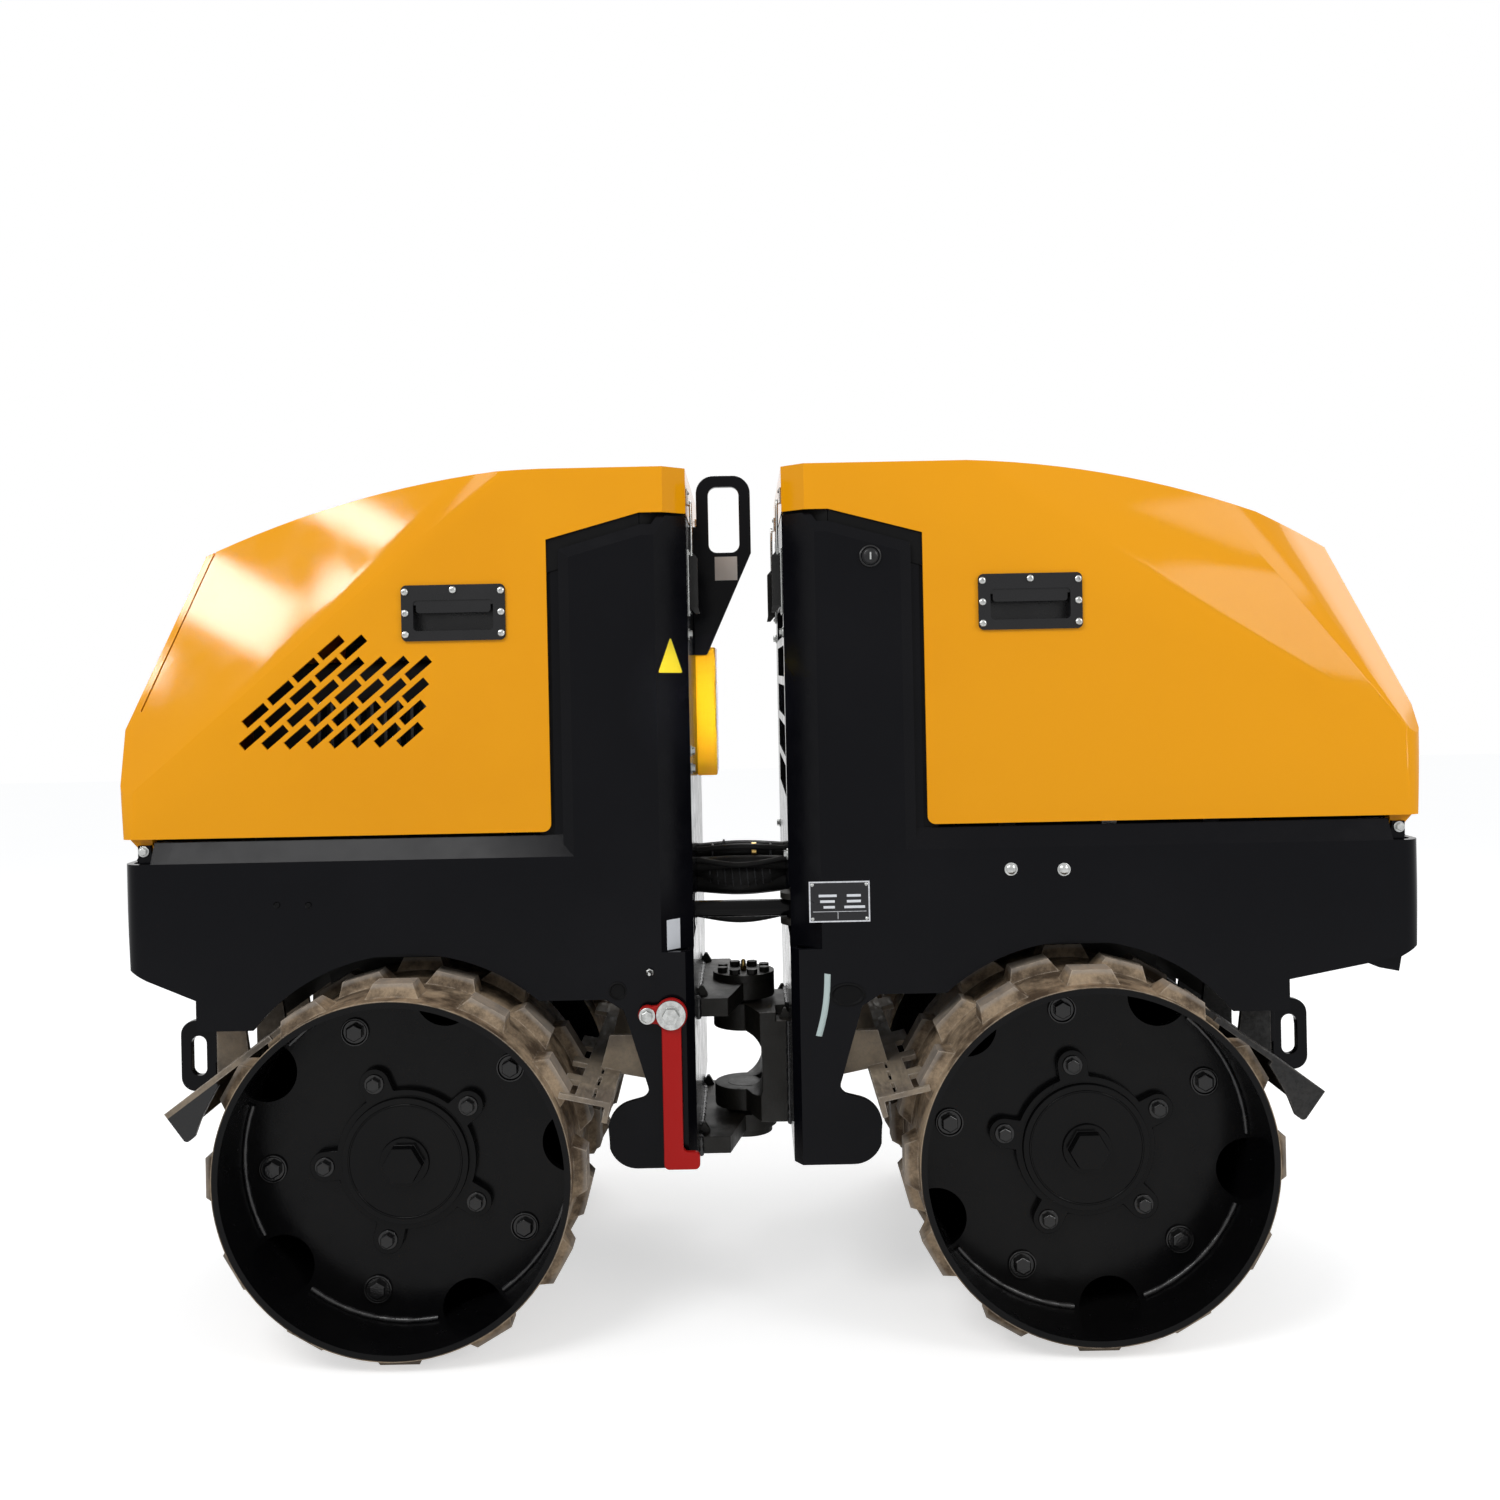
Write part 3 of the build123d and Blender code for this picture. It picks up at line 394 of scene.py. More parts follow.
def makeMetal(name, colour, low, high, scale=120.0):
    colour, dark = (*colour, 1), (*(0.72 * part for part in colour), 1)
    material, tree, shader = newMaterial(name, Base_Color=colour, Metallic=1.0)
    grain = noiseOn(tree, scale, 4, 0.6)
    feed(tree, shader, Base_Color=blendColour(tree, ramp(tree, grain, 0.35, 0.7), colour, dark),
         Roughness=ramp(tree, grain, 0.3, 0.7, low, high), Normal=bumpOn(tree, grain, 0.08, 0.0006))
    return material


def makeWorn(name, bare, soil, scale, depth, metallic=0.3, rubColour=(0.5, 0.45, 0.4, 1), rub=0.8, cheek=None):
    material, tree, shader = newMaterial(name, Metallic=metallic)
    worn = useGroup(tree, "wornSurface", bare=(*bare, 1), soil=(*soil, 1), scale=scale, depth=depth)
    edge = useGroup(tree, "edgeRub", radius=0.003, amount=rub, breakUp=80.0)
    colour, rough = blendColour(tree, edge["Mask"], worn["Colour"], rubColour), worn["Roughness"]
    if cheek:
        # the end cheeks under the sloping leaf keep their black paint
        parts = addNode(tree, "SeparateXYZ", {0: objectCoords(tree)}).outputs
        far = times(tree, parts["Y"], 0, "ABSOLUTE")
        out = times(tree, times(tree, parts["X"], -layout["hingeX"], "ADD"), 0, "ABSOLUTE")
        height = times(tree, times(tree, out, cheek["slope"]), parts["Z"], "ADD")
        under = ramp(tree, height, cheek["level"] + 0.001, cheek["level"])
        painted = times(tree, ramp(tree, far, cheek["y"], cheek["y"] + 0.001), under)
        colour = blendColour(tree, painted, colour, (0.006, 0.006, 0.0065, 1))
        rough = blendValue(tree, painted, rough, 0.28)
    feed(tree, shader, Base_Color=colour, Roughness=rough, Normal=worn["Normal"])
    return material


drumSkin = {
    "worn": {"bare": (0.36, 0.27, 0.18, 1), "soil": (0.075, 0.052, 0.034, 1), "scale": 16.0, "depth": 0.35},
    "paint": {"colour": (0.0026, 0.0026, 0.0030, 1), "shade": (0.006, 0.0056, 0.0052, 1), "low": 0.14, "high": 0.3,
              "peelDepth": 0.08},
    "rub": {"radius": 0.004, "amount": 0.7, "breakUp": 70.0},
    "shell": (0.2530, 0.2546),
    "padTop": (0.2655, 0.2715),
}


def makeDrumSteel(name, half):
    # earth-worn outside, gloss black inside; the radius about the axle tells them apart
    material, tree, shader = newMaterial(name, Specular_IOR_Level=0.11)
    axle = (-placeX(half, layout["axleU"]), 0, -layout["axleZ"])
    about = addNode(tree, "Mapping", {"Vector": objectCoords(tree), "Location": axle}).outputs[0]
    parts = addNode(tree, "SeparateXYZ", {0: about}).outputs
    square = times(tree, times(tree, parts["X"], parts["X"]), times(tree, parts["Z"], parts["Z"]), "ADD")
    radius = times(tree, square, 0, "SQRT")
    outside = ramp(tree, radius, *drumSkin["shell"])
    worn = useGroup(tree, "wornSurface", **drumSkin["worn"])
    skin = useGroup(tree, "paintSkin", **drumSkin["paint"])
    rub = useGroup(tree, "edgeRub", **drumSkin["rub"])["Mask"]
    proud = times(tree, ramp(tree, radius, *drumSkin["padTop"]), 0.55)
    earth = blendColour(tree, proud, worn["Colour"], (0.30, 0.27, 0.24, 1))
    earth = blendColour(tree, rub, earth, (0.50, 0.42, 0.33, 1))
    normal = addNode(tree, "Mix", {0: outside, 4: skin["Normal"], 5: worn["Normal"]}, data_type="VECTOR").outputs[1]
    feed(tree, shader, Base_Color=blendColour(tree, outside, skin["Colour"], earth), Normal=normal,
         Roughness=blendValue(tree, outside, skin["Roughness"], worn["Roughness"]))
    return material


# colour, shade, specular level, roughness, peel and dust of each paint
paints = {
    "hoodYellow": ((0.84, 0.345, 0.004), (0.80, 0.315, 0.003), 0.14, (0.05, 0.11), 0.025),
    # the receiver box's yellow is a lighter copy of the hood's yellow: painted light on its shaded face
    "boxYellow": ((1.0, 0.50, 0.012), (1.0, 0.46, 0.010), 0.14, (0.10, 0.20), 0.025),
    "signYellow": ((0.80, 0.62, 0.02), (0.7, 0.5, 0.02), 0.4, (0.3, 0.5), 0.05),
    "frameBlack": ((0.0026, 0.0027, 0.0040), (0.0050, 0.0050, 0.0066), 0.09, (0.10, 0.22), 0.05, 0.06),
    "boltBlack": ((0.0045, 0.0045, 0.0050), (0.012, 0.011, 0.010), 0.35, (0.09, 0.20), 0.15),
    "castBlack": ((0.013, 0.012, 0.010), (0.028, 0.025, 0.020), 0.3, (0.38, 0.6), 0.35, 0.35),
    "hubBlack": ((0.0026, 0.0026, 0.0029), (0.0055, 0.0052, 0.0050), 0.10, (0.10, 0.22), 0.1),
    "handleBlack": ((0.006, 0.006, 0.007), (0.010, 0.010, 0.011), 0.3, (0.22, 0.36), 0.2),
    "weldBlack": ((0.010, 0.010, 0.011), (0.03, 0.028, 0.026), 0.5, (0.18, 0.34), 0.3),
    # the black of the tower seals, and the painted shade of the tie-down openings
    "holeBlack": ((0.0025, 0.0025, 0.0028), (0.004, 0.004, 0.004), 0.1, (0.5, 0.7), 0.1),
    "plateBlack": ((0.010, 0.010, 0.012), (0.014, 0.014, 0.016), 0.3, (0.25, 0.4), 0.03),
    "lockRed": ((0.40, 0.0080, 0.0068), (0.32, 0.006, 0.006), 0.16, (0.25, 0.45), 0.08, 0.0,
                {"edge": {"radius": 0.002, "amount": 0.5, "breakUp": 120.0}, "colour": (0.12, 0.02, 0.02, 1)}),
    "rubber": ((0.008, 0.008, 0.008), (0.015, 0.0145, 0.0135), 0.25, (0.45, 0.7), 0.5, 0.15),
    "sleeveCloth": ((0.009, 0.009, 0.009), (0.020, 0.019, 0.018), 0.3, (0.5, 0.75), 0.9),
    "wrapGrey": ((0.055, 0.057, 0.062), (0.03, 0.03, 0.032), 0.5, (0.28, 0.45), 0.2),
    "plateWhite": ((0.72, 0.74, 0.78), (0.62, 0.64, 0.68), 0.4, (0.3, 0.5), 0.05),
    "cardCream": ((0.84, 0.78, 0.72), (0.76, 0.70, 0.64), 0.35, (0.35, 0.55), 0.05),
    "strapPale": ((0.46, 0.56, 0.55), (0.38, 0.46, 0.45), 0.45, (0.3, 0.5), 0.1),
}
# colour, roughness from and to, and grain of each metal
metals = {
    "zinc": ((0.50, 0.51, 0.50), 0.20, 0.40),
    "brass": ((0.62, 0.42, 0.14), 0.25, 0.4),
    "plateSilver": ((0.62, 0.63, 0.66), 0.25, 0.4, 300.0),
    "boltSteel": ((0.20, 0.19, 0.175), 0.35, 0.6, 90.0),
}
# bare steel and soil, patch size, depth, metal, rubbed edges and black cheeks of each worn surface
worns = {
    "scraperSteel": ((0.29, 0.235, 0.17), (0.16, 0.13, 0.10), 11.0, 0.25),
    "outerScraperBlack": ((0.020, 0.0185, 0.017), (0.008, 0.008, 0.008), 9.0, 0.2, 0.3, (0.16, 0.14, 0.12, 1), 0.5),
    "outerScraperSteel": ((0.25, 0.20, 0.145), (0.07, 0.058, 0.045), 9.0, 0.25, 0.3, (0.5, 0.45, 0.4, 1), 0.8,
                          {"y": 0.4062, "slope": 0.7212, "level": 0.9547}),
    "darkSteel": ((0.03, 0.028, 0.026), (0.012, 0.011, 0.010), 20.0, 0.2, 0.4, (0.10, 0.095, 0.09, 1), 0.4),
}
finishes = {}
for maker, table in ((makePaint, paints), (makeMetal, metals), (makeWorn, worns)):
    for finishName, facts in table.items():
        finishes[finishName] = maker(finishName, *facts)
for half in layout["sides"]:
    drumName = "drum" + half.capitalize()
    finishes[drumName] = makeDrumSteel(drumName, half)
print("finishes:", len(finishes))


# the floor, which shows white where it is lit and keeps the shadow


floorSet = {"half": 12.0, "rise": 0.0, "tone": 0.74, "glow": 0.56}


def buildFloor():
    bpy.ops.mesh.primitive_plane_add(size=2 * floorSet["half"], location=(0, 0, floorSet["rise"]))
    floor = bpy.context.object
    floor.name = "paleFloor"
    tone = floorSet["tone"]
    material, tree, shader = newMaterial("paleFloor", Base_Color=(tone, tone, tone, 1), Roughness=0.9)
    shader.inputs["Specular IOR Level"].default_value = 0.0
    cloud = noiseOn(tree, 1.5, 3)
    feed(tree, shader, Base_Color=blendColour(tree, cloud, (tone, tone, tone, 1), (tone * 0.98,) * 3 + (1,)))
    lit = times(tree, seenRays(tree), floorSet["glow"])
    glow = addNode(tree, "Emission", {"Color": (1, 1, 1, 1), "Strength": lit})
    both = addNode(tree, "AddShader", {0: shader.outputs[0], 1: glow.outputs[0]})
    tree.links.new(both.outputs[0], tree.nodes["Material Output"].inputs["Surface"])
    floor.data.materials.append(material)


buildFloor()


# CAD nodes dressed with soft edges


# finish, width of the soft edge, slot where it isn't the finish's own, and the bodies' nodes
dressed = [
    ("hoodYellow", 0.0024, "", {"front_hood": ["front_hood"], "rear_hood": ["rear_hood"]}),
    ("frameBlack", 0.002, "", {"front_half": ["front_frame", "front_tow_eyes"],
                               "rear_half": ["rear_frame", "rear_tow_eyes", "lifting_eye"]}),
    ("outerScraperBlack", 0.0008, "", {"front_half": ["front_outer_scraper"]}),
    ("outerScraperSteel", 0.0008, "", {"rear_half": ["rear_outer_scraper"]}),
    ("scraperSteel", 0.0008, "", {"front_half": ["front_inner_scraper"], "rear_half": ["rear_inner_scraper"]}),
    ("castBlack", 0.003, "", {"rear_half": ["rear_hinge_lugs"]}),
    ("castBlack", 0.004, "", {"front_half": ["hinge_yoke"]}),
    ("castBlack", 0.0012, "", {"rear_half": ["hinge_pins"]}),
    ("castBlack", 0.014, "dark_metal", {"rear_half": ["engine_block"]}),
    ("lockRed", 0.0015, "", {"lock_bar": ["lock_bar"]}),
    ("zinc", 0.0012, "", {"rear_half": ["lock_bar_bolt"]}),
    # the receiver box wears the lighter yellow, painted light on its shaded face
    ("boxYellow", 0.003, "", {"rear_half": ["receiver_box"]}),
    ("handleBlack", 0.0012, "", {"front_hood": ["front_hood_handles"], "rear_hood": ["rear_hood_handles"]}),
    ("hubBlack", 0.018, "", {"front_half": ["hydraulic_tank"]}),
    ("hubBlack", 0.0018, "", {"front_drums": ["front_hub_cover_right", "front_hub_cover_left"],
                              "rear_drums": ["rear_hub_cover_right", "rear_hub_cover_left"]}),
]


def dressNodes():
    for finish, edge, slot, riders in dressed:
        for body, nodeNames in riders.items():
            for nodeName in nodeNames:
                first, *rest = nodeName.split("_")
                piece = copyNode(nodeName, first + "".join(word.capitalize() for word in rest) + "Dressed")
                finishPiece(roundEdges(piece, edge), finish, body, [nodeName])


dressNodes()
print("nodes dressed")

plainNodes = {
    "drumFront": ["front_drum_right", "front_drum_left"],
    "drumRear": ["rear_drum_right", "rear_drum_left"],
    "darkSteel": ["front_axle", "rear_axle"],
    "castBlack": ["front_gear_housing", "rear_gear_housing", "steering_anchor", "steering_clevis"],
    "frameBlack": ["front_hood_hinges", "rear_hood_hinges", "steering_barrel"],
    "hubBlack": ["steering_rod"],
}
for finishName, nodeNames in plainNodes.items():
    for nodeName in nodeNames:
        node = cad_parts[nodeName]
        node.data.materials.clear()
        node.data.materials.append(finishes[finishName])
print("plain nodes finished")


# bolts, beads and plates; what repeats is made once at the origin, standing on its seat along Z

sidesOut = {"Right": -1, "Left": 1}


def aimed(place, out, up=(0, 0, 1)):
    out = Vector(out).normalized()
    side = Vector(up).cross(out).normalized()
    turn = Matrix((side, out.cross(side), out)).transposed().to_4x4()
    return Matrix.Translation(Vector(place)) @ turn


def onSides(x, y, z):
    # a place on each side of the machine, looking outwards
    return [aimed((x, side * y, z), (0, side, 0)) for side in sidesOut.values()]


def newCylinder(radius, depth, sides, place=(0, 0, 0), turn=(0, 0, 0)):
    deselectAll()
    bpy.ops.mesh.primitive_cylinder_add(vertices=sides, radius=radius, depth=depth, location=place, rotation=turn)
    return applyPlace(bpy.context.object)


def newRing(major, minor, segments, place, turn):
    deselectAll()
    bpy.ops.mesh.primitive_torus_add(major_radius=major, minor_radius=minor, major_segments=segments,
                                     minor_segments=8, location=place, rotation=turn)
    return smooth(applyPlace(bpy.context.object), 60)


def raiseTop(piece, inset, lift):
    top = max(vertex.co.z for vertex in piece.data.vertices)
    editParts(piece, "FACE", lambda face: face.normal.z > 0.9 and face.center.z > top - 0.00002)
    bpy.ops.mesh.inset(thickness=inset, depth=0)
    bpy.ops.transform.translate(value=(0, 0, lift))
    return endEdit()


def turnedPart(radius, depth, sides, steps, base=0.0, size=1.0):
    # stands at the height base; each step insets its top face and lifts it
    part = newCylinder(size * radius, size * depth, sides, (0, 0, size * (base + depth / 2)))
    for inset, lift in steps:
        raiseTop(part, size * inset, size * lift)
    return part


def newBlock(low, high, edge=0.0015, inset=None):
    deselectAll()
    bpy.ops.mesh.primitive_cube_add(size=1, location=[(a + b) / 2 for a, b in zip(low, high)])
    block = bpy.context.object
    block.scale = [b - a for a, b in zip(low, high)]
    applyPlace(block)
    if inset:
        raiseTop(block, *inset)
    return roundEdges(block, edge)


def bevelUprights(piece, width, segments):
    def upright(edge):
        start, end = (piece.data.vertices[corner].co for corner in edge.vertices)
        return abs(start.z - end.z) > 0.0001

    editParts(piece, "EDGE", upright)
    bpy.ops.mesh.bevel(offset=width, segments=segments, affect="EDGES")
    return endEdit()


def pullFace(piece, wanted, move, taper=None, about=None):
    editParts(piece, "FACE", wanted)
    bpy.ops.mesh.extrude_region_move()
    bpy.ops.transform.translate(value=move)
    if taper:
        bpy.ops.transform.resize(value=taper, center_override=about)
    return endEdit()


def settle(name, pieces, finish, body):
    return finishPiece(joinPieces(name, pieces), finish, body)


def spread(master, name, places, finish, body):
    # a copy with its own mesh for every place; a master that isn't kept is removed
    copies = []
    for place in places:
        copy = bpy.data.objects.new(name, master.data.copy())
        bpy.context.scene.collection.objects.link(copy)
        copy.matrix_world = place
        copies.append(copy)
    bpy.context.view_layer.update()
    if master not in masters.values():
        bpy.data.objects.remove(master)
    return settle(name, copies, finish, body)


def makeTube(name, points, radius, wobble=0.0, smoothness=3):
    deselectAll()
    bpy.ops.curve.primitive_nurbs_path_add(location=(0, 0, 0))
    path = bpy.context.object
    path.data.splines.clear()
    line = path.data.splines.new("NURBS")
    line.points.add(len(points) - 1)
    for count, (spot, place) in enumerate(zip(line.points, points)):
        # a weld bead wavers in two slow rhythms
        spot.co = (*place, 1)
        spot.radius = 1 + wobble * math.sin(count * 2.4) + 0.4 * wobble * math.sin(count * 1.1)
    line.order_u = 3
    line.use_endpoint_u = True
    line.resolution_u = smoothness
    path.data.bevel_depth = radius
    path.data.bevel_resolution = 2
    path.data.use_fill_caps = True
    bpy.ops.object.convert(target="MESH")
    tube = bpy.context.object
    tube.name = name
    return smooth(tube, 50)


# radius, depth, sides, steps and base of each form's parts, then the width and segments of their soft edges
boltForms = {
    "hex": ([(1, 0.72, 6, [(0.16, 0.1), (0.22, -0.05)], 0.24), (1.38, 0.24, 28, [(0.12, 0.05)])],
            [(0.05, 2), (0.04, 1)]),
    "seat": ([(1, 0.62, 6, [(0.15, 0.1)], 0.09), (1.55, 0.3, 40, [(0.16, 0.03), (0.12, -0.2)])],
             [(0.06, 2), (0.03, 1)]),
    "socket": ([(1, 0.5, 20, [(0.22, 0.26), (0.34, 0.06), (0.06, -0.4)])], []),
    "dome": ([(1, 0.3, 28, [(0.25, 0.24), (0.35, 0.12)], 0.19), (1.3, 0.2, 28, [(0.1, 0.04)])], []),
    "nipple": ([(0.006, 0.006, 6, [(0.001, 0.001)]),
                (0.0042, 0.009, 20, [(0.0012, 0.0016), (0.0009, 0.0014)], 0.006)], []),
}


def makeBolt(form, size=1.0):
    parts, edges = boltForms[form]
    made = [turnedPart(*part, size=size) for part in parts]
    for part, (edge, segments) in zip(made, edges):
        roundEdges(part, size * edge, segments)
    bolt = joinPieces(form + "Bolt", made)
    return bolt if form == "seat" else smooth(bolt, 40)


masters = {
    "lobeBolt": makeBolt("hex", 0.0105),
    "sideBolt": makeBolt("hex", 0.009),
    "smallBolt": makeBolt("hex", 0.006),
    "seatBolt": makeBolt("seat", 0.0135),
    "handleScrew": makeBolt("socket", 0.0052),
    "plateScrew": makeBolt("socket", 0.0026),
    "domeBolt": makeBolt("dome", 0.0075),
    "nipple": makeBolt("nipple"),
}


# what stands on the drums' webs

drumSet = {
    "phase": {"front": 28, "rear": -14},
    "turns": [36, 108, 180, 252, 324],
    "lobes": {"radius": 0.121, "y": 0.331},
    "web": {"radius": 0.2015, "y": 0.317},
    "bead": {"radius": 0.2425, "y": 0.3185, "thickness": 0.0042, "wobble": 0.22, "steps": 18},
    "notchHalf": 12.5,
    "cap": {"radius": 0.083, "y": 0.339, "thickness": 0.0016},
    # closes the view through the notches
    "disc": (0.2449, 0.008, 96, [(0.030, 0.0), (0.020, -0.006), (0.055, 0.0), (0.030, 0.010)], -0.004),
    "discY": 0.125,
}


def drumPoint(half, turn, radius, y):
    angle = math.radians(turn)
    x = placeX(half, layout["axleU"] + radius * math.sin(angle))
    return (x, y, layout["axleZ"] + radius * math.cos(angle))


def dressDrum(half, sideName):
    side, body = sidesOut[sideName], half + "_drums"
    out = (0, side, 0)
    turns = [drumSet["phase"][half] + turn for turn in drumSet["turns"]]
    for master, name, spot in (("lobeBolt", "LobeBolts", drumSet["lobes"]), ("seatBolt", "WebBolts", drumSet["web"])):
        places = [aimed(drumPoint(half, turn, spot["radius"], side * spot["y"]), out) for turn in turns]
        spread(masters[master], half + name + sideName, places, "boltBlack", body)
    disc = roundEdges(turnedPart(*drumSet["disc"]), 0.0012)
    centre = drumPoint(half, 0, 0, side * drumSet["discY"])
    spread(disc, f"{half}InnerDisc{sideName}", [aimed(centre, out)], "hubBlack", body)
    bead, cap = drumSet["bead"], drumSet["cap"]
    reach = 36 - drumSet["notchHalf"]
    swings = [reach * (2 * step / bead["steps"] - 1) for step in range(bead["steps"] + 1)]
    beads = []
    for turn in turns:
        points = [drumPoint(half, turn + swing, bead["radius"], side * bead["y"]) for swing in swings]
        beads.append(makeTube("bead", points, bead["thickness"], bead["wobble"]))
    settle(f"{half}WebBead{sideName}", beads, "weldBlack", body)
    centre = drumPoint(half, 0, 0, side * cap["y"])
    ring = newRing(cap["radius"], cap["thickness"], 72, centre, (math.radians(90), 0, 0))
    settle(f"{half}CapRing{sideName}", [ring], "hubBlack", body)


for drumHalf in layout["sides"]:
    for drumSide in sidesOut:
        dressDrum(drumHalf, drumSide)
print("drums dressed")


# screws of the handles' plates

handleSet = {
    "u": {"front": 0.443, "rear": 0.423},
    "z": 1.080,
    "plateY": 0.296,
    "screws": [(-0.072, 0.032), (0, 0.034), (0.072, 0.032), (-0.072, 0.0), (0.072, 0.0), (-0.072, -0.032),
               (0.072, -0.032)],
}


def addHandleScrews(half):
    x = placeX(half, handleSet["u"][half])
    places = []
    for dx, dz in handleSet["screws"]:
        places += onSides(x + dx, handleSet["plateY"], handleSet["z"] + dz)
    spread(masters["handleScrew"], half + "HandleScrews", places, "zinc", half + "_hood")


for handleHalf in layout["sides"]:
    addHandleScrews(handleHalf)
print("handles dressed")


# hoses over the hinge; they bow and sag in the gap between the two halves

hoseSet = {
    "stops": [-0.165, -0.125, -0.100, -0.083, -0.070, -0.050, -0.025, 0,
              0.025, 0.050, 0.070, 0.083, 0.100, 0.125, 0.165],
    "bowReach": 0.080,
    # y, z, radius, sag and way out of each hose
    "hoses": [(-0.040, 0.660, 0.0128, 0.004, -0.010), (-0.005, 0.672, 0.0122, 0.010, -0.026),
              (0.030, 0.655, 0.0122, -0.026, -0.030), (0.065, 0.668, 0.0155, 0.006, -0.010),
              (-0.028, 0.6285, 0.0150, -0.003, -0.022), (-0.085, 0.592, 0.0105, -0.012, 0.0)],
    "leads": [(-0.058, 0.672, 0.0048, -0.010, -0.010), (-0.046, 0.686, 0.0048, 0.006, -0.014)],
    "sleeve": (-0.020, 0.646, 0.0235, -0.008, -0.024),
    "sleeveReach": 0.066,
    "sleeveSteps": 14,
    "wrap": {"pitch": 0.0125, "reach": 0.058, "thickness": 0.0010, "proud": 0.0002, "steps": 14},
    # spots: which hose, and how far from the hinge
    "tie": {"spots": [(1, -0.048), (1, 0.050), (3, -0.030)], "proud": 0.0014, "thickness": 0.0020},
    "band": {"spot": (1, 0.022), "proud": 0.0018, "length": 0.009},
}


def hosePoint(hose, dx):
    y, z, _, sag, out = hose
    bow = max(0.0, math.cos(math.pi / 2 * min(1.0, abs(dx) / hoseSet["bowReach"]))) ** 1.3
    return (layout["hingeX"] + dx, y + out * bow, z + sag * bow)


def radiusOf(hose):
    return hose[2]


def drawnIn(dx):
    # the sleeve draws in towards its tied ends
    return 1 - 0.2 * max(0.0, (abs(dx) - 0.045) / 0.021) ** 2


def blendOver(piece, finish, stands=()):
    piece.data.materials.clear()
    piece.data.materials.append(finishes[finish])
    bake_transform(piece)
    if stands:
        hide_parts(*stands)


def layHoses(name, hoses, stops, stands=()):
    tubes = [makeTube("hose", [hosePoint(hose, dx) for dx in stops], radiusOf(hose), 0, 6) for hose in hoses]
    blendOver(joinPieces(name, tubes), "rubber", stands)


def wrapSleeve():
    sleeve, wrap = hoseSet["sleeve"], hoseSet["wrap"]
    reach, steps = hoseSet["sleeveReach"], hoseSet["sleeveSteps"]
    line = [hosePoint(sleeve, reach * (2 * step / steps - 1)) for step in range(steps + 1)]
    bag = makeTube("hoseSleeve", line, radiusOf(sleeve), 0.03, 6)
    for vertex in bag.data.vertices:
        dx = vertex.co.x - layout["hingeX"]
        _, y, z = hosePoint(sleeve, dx)
        vertex.co.y = y + (vertex.co.y - y) * drawnIn(dx)
        vertex.co.z = z + (vertex.co.z - z) * drawnIn(dx)
    blendOver(bag, "sleeveCloth")
    turns = 2 * wrap["reach"] / wrap["pitch"]
    count = int(turns * wrap["steps"])
    points = []
    for step in range(count + 1):
        dx = wrap["reach"] * (2 * step / count - 1)
        x, y, z = hosePoint(sleeve, dx)
        angle = 2 * math.pi * turns * step / count
        grip = (radiusOf(sleeve) + wrap["proud"]) * drawnIn(dx)
        points.append((x, y + grip * math.cos(angle), z + grip * math.sin(angle)))
    blendOver(makeTube("sleeveSpiral", points, wrap["thickness"], 0, 2), "wrapGrey")


def tieHoses():
    across = (0, math.radians(90), 0)
    tie, band = hoseSet["tie"], hoseSet["band"]
    ties = []
    for number, dx in tie["spots"]:
        hose = hoseSet["hoses"][number]
        ties.append(newRing(radiusOf(hose) + tie["proud"], tie["thickness"], 32, hosePoint(hose, dx), across))
    blendOver(joinPieces("hoseTies", ties), "wrapGrey")
    number, dx = band["spot"]
    hose = hoseSet["hoses"][number]
    ring = newCylinder(radiusOf(hose) + band["proud"], band["length"], 36, hosePoint(hose, dx), across)
    blendOver(joinPieces("hoseBand", [roundEdges(ring, 0.0012)]), "brass")


layHoses("hingeHoses", hoseSet["hoses"], hoseSet["stops"], ["hydraulic_hoses"])
layHoses("hingeLeads", hoseSet["leads"], hoseSet["stops"][3:-3])
wrapSleeve()
tieHoses()
print("hoses laid")


# a grease nipple, welds and gussets at the hinge, and webs between the drums

hingeSet = {
    "capTop": 0.475,
    "sunk": 0.0012,
    "bead": {"radius": 0.0042, "wobble": 0.25},
    "beadStep": 0.006,
    "yoke": {"half": 0.115, "low": 0.250, "high": 0.428, "shelf": 0.414, "topHalf": 0.060},
    "lugHalf": 0.160,
    "lugs": [(0.434, 0.463), (0.216, 0.243)],
    "gussets": {"rear": (0.135, (0.469, 0.249)), "front": (0.092, (0.420,))},
    "gussetIn": 0.006,
}
spread(masters["nipple"], "hingeNipple", [aimed((layout["hingeX"], 0, hingeSet["capTop"]), (0, 0, 1), (0, 1, 0))],
       "brass", "rear_half")


def layBeads(name, half, lines):
    # weld beads on the bulkhead's face; each line gives y and z at its two ends
    x = placeX(half, layout["faceU"] - hingeSet["sunk"])
    beads = []
    for start, end in lines:
        start, end = Vector((x, *start)), Vector((x, *end))
        count = max(3, int((end - start).length / hingeSet["beadStep"]))
        points = [tuple(start.lerp(end, step / count)) for step in range(count + 1)]
        beads.append(makeTube("bead", points, **hingeSet["bead"]))
    settle(name, beads, "weldBlack", half + "_half")


def weldHinge():
    reach = hingeSet["lugHalf"]
    lines = []
    for low, high in hingeSet["lugs"]:
        lines += [((-reach, z), (reach, z)) for z in (low, high)]
        lines += [((y, low), (y, high)) for y in (-reach, reach)]
    layBeads("rearLugWelds", "rear", lines)
    yoke = hingeSet["yoke"]
    lines = [((y, yoke["low"]), (y, yoke["shelf"])) for y in (-yoke["half"], yoke["half"])]
    for z, wide in ((yoke["low"], yoke["half"]), (yoke["high"], yoke["topHalf"])):
        lines.append(((-wide, z), (wide, z)))
    layBeads("yokeWelds", "front", lines)


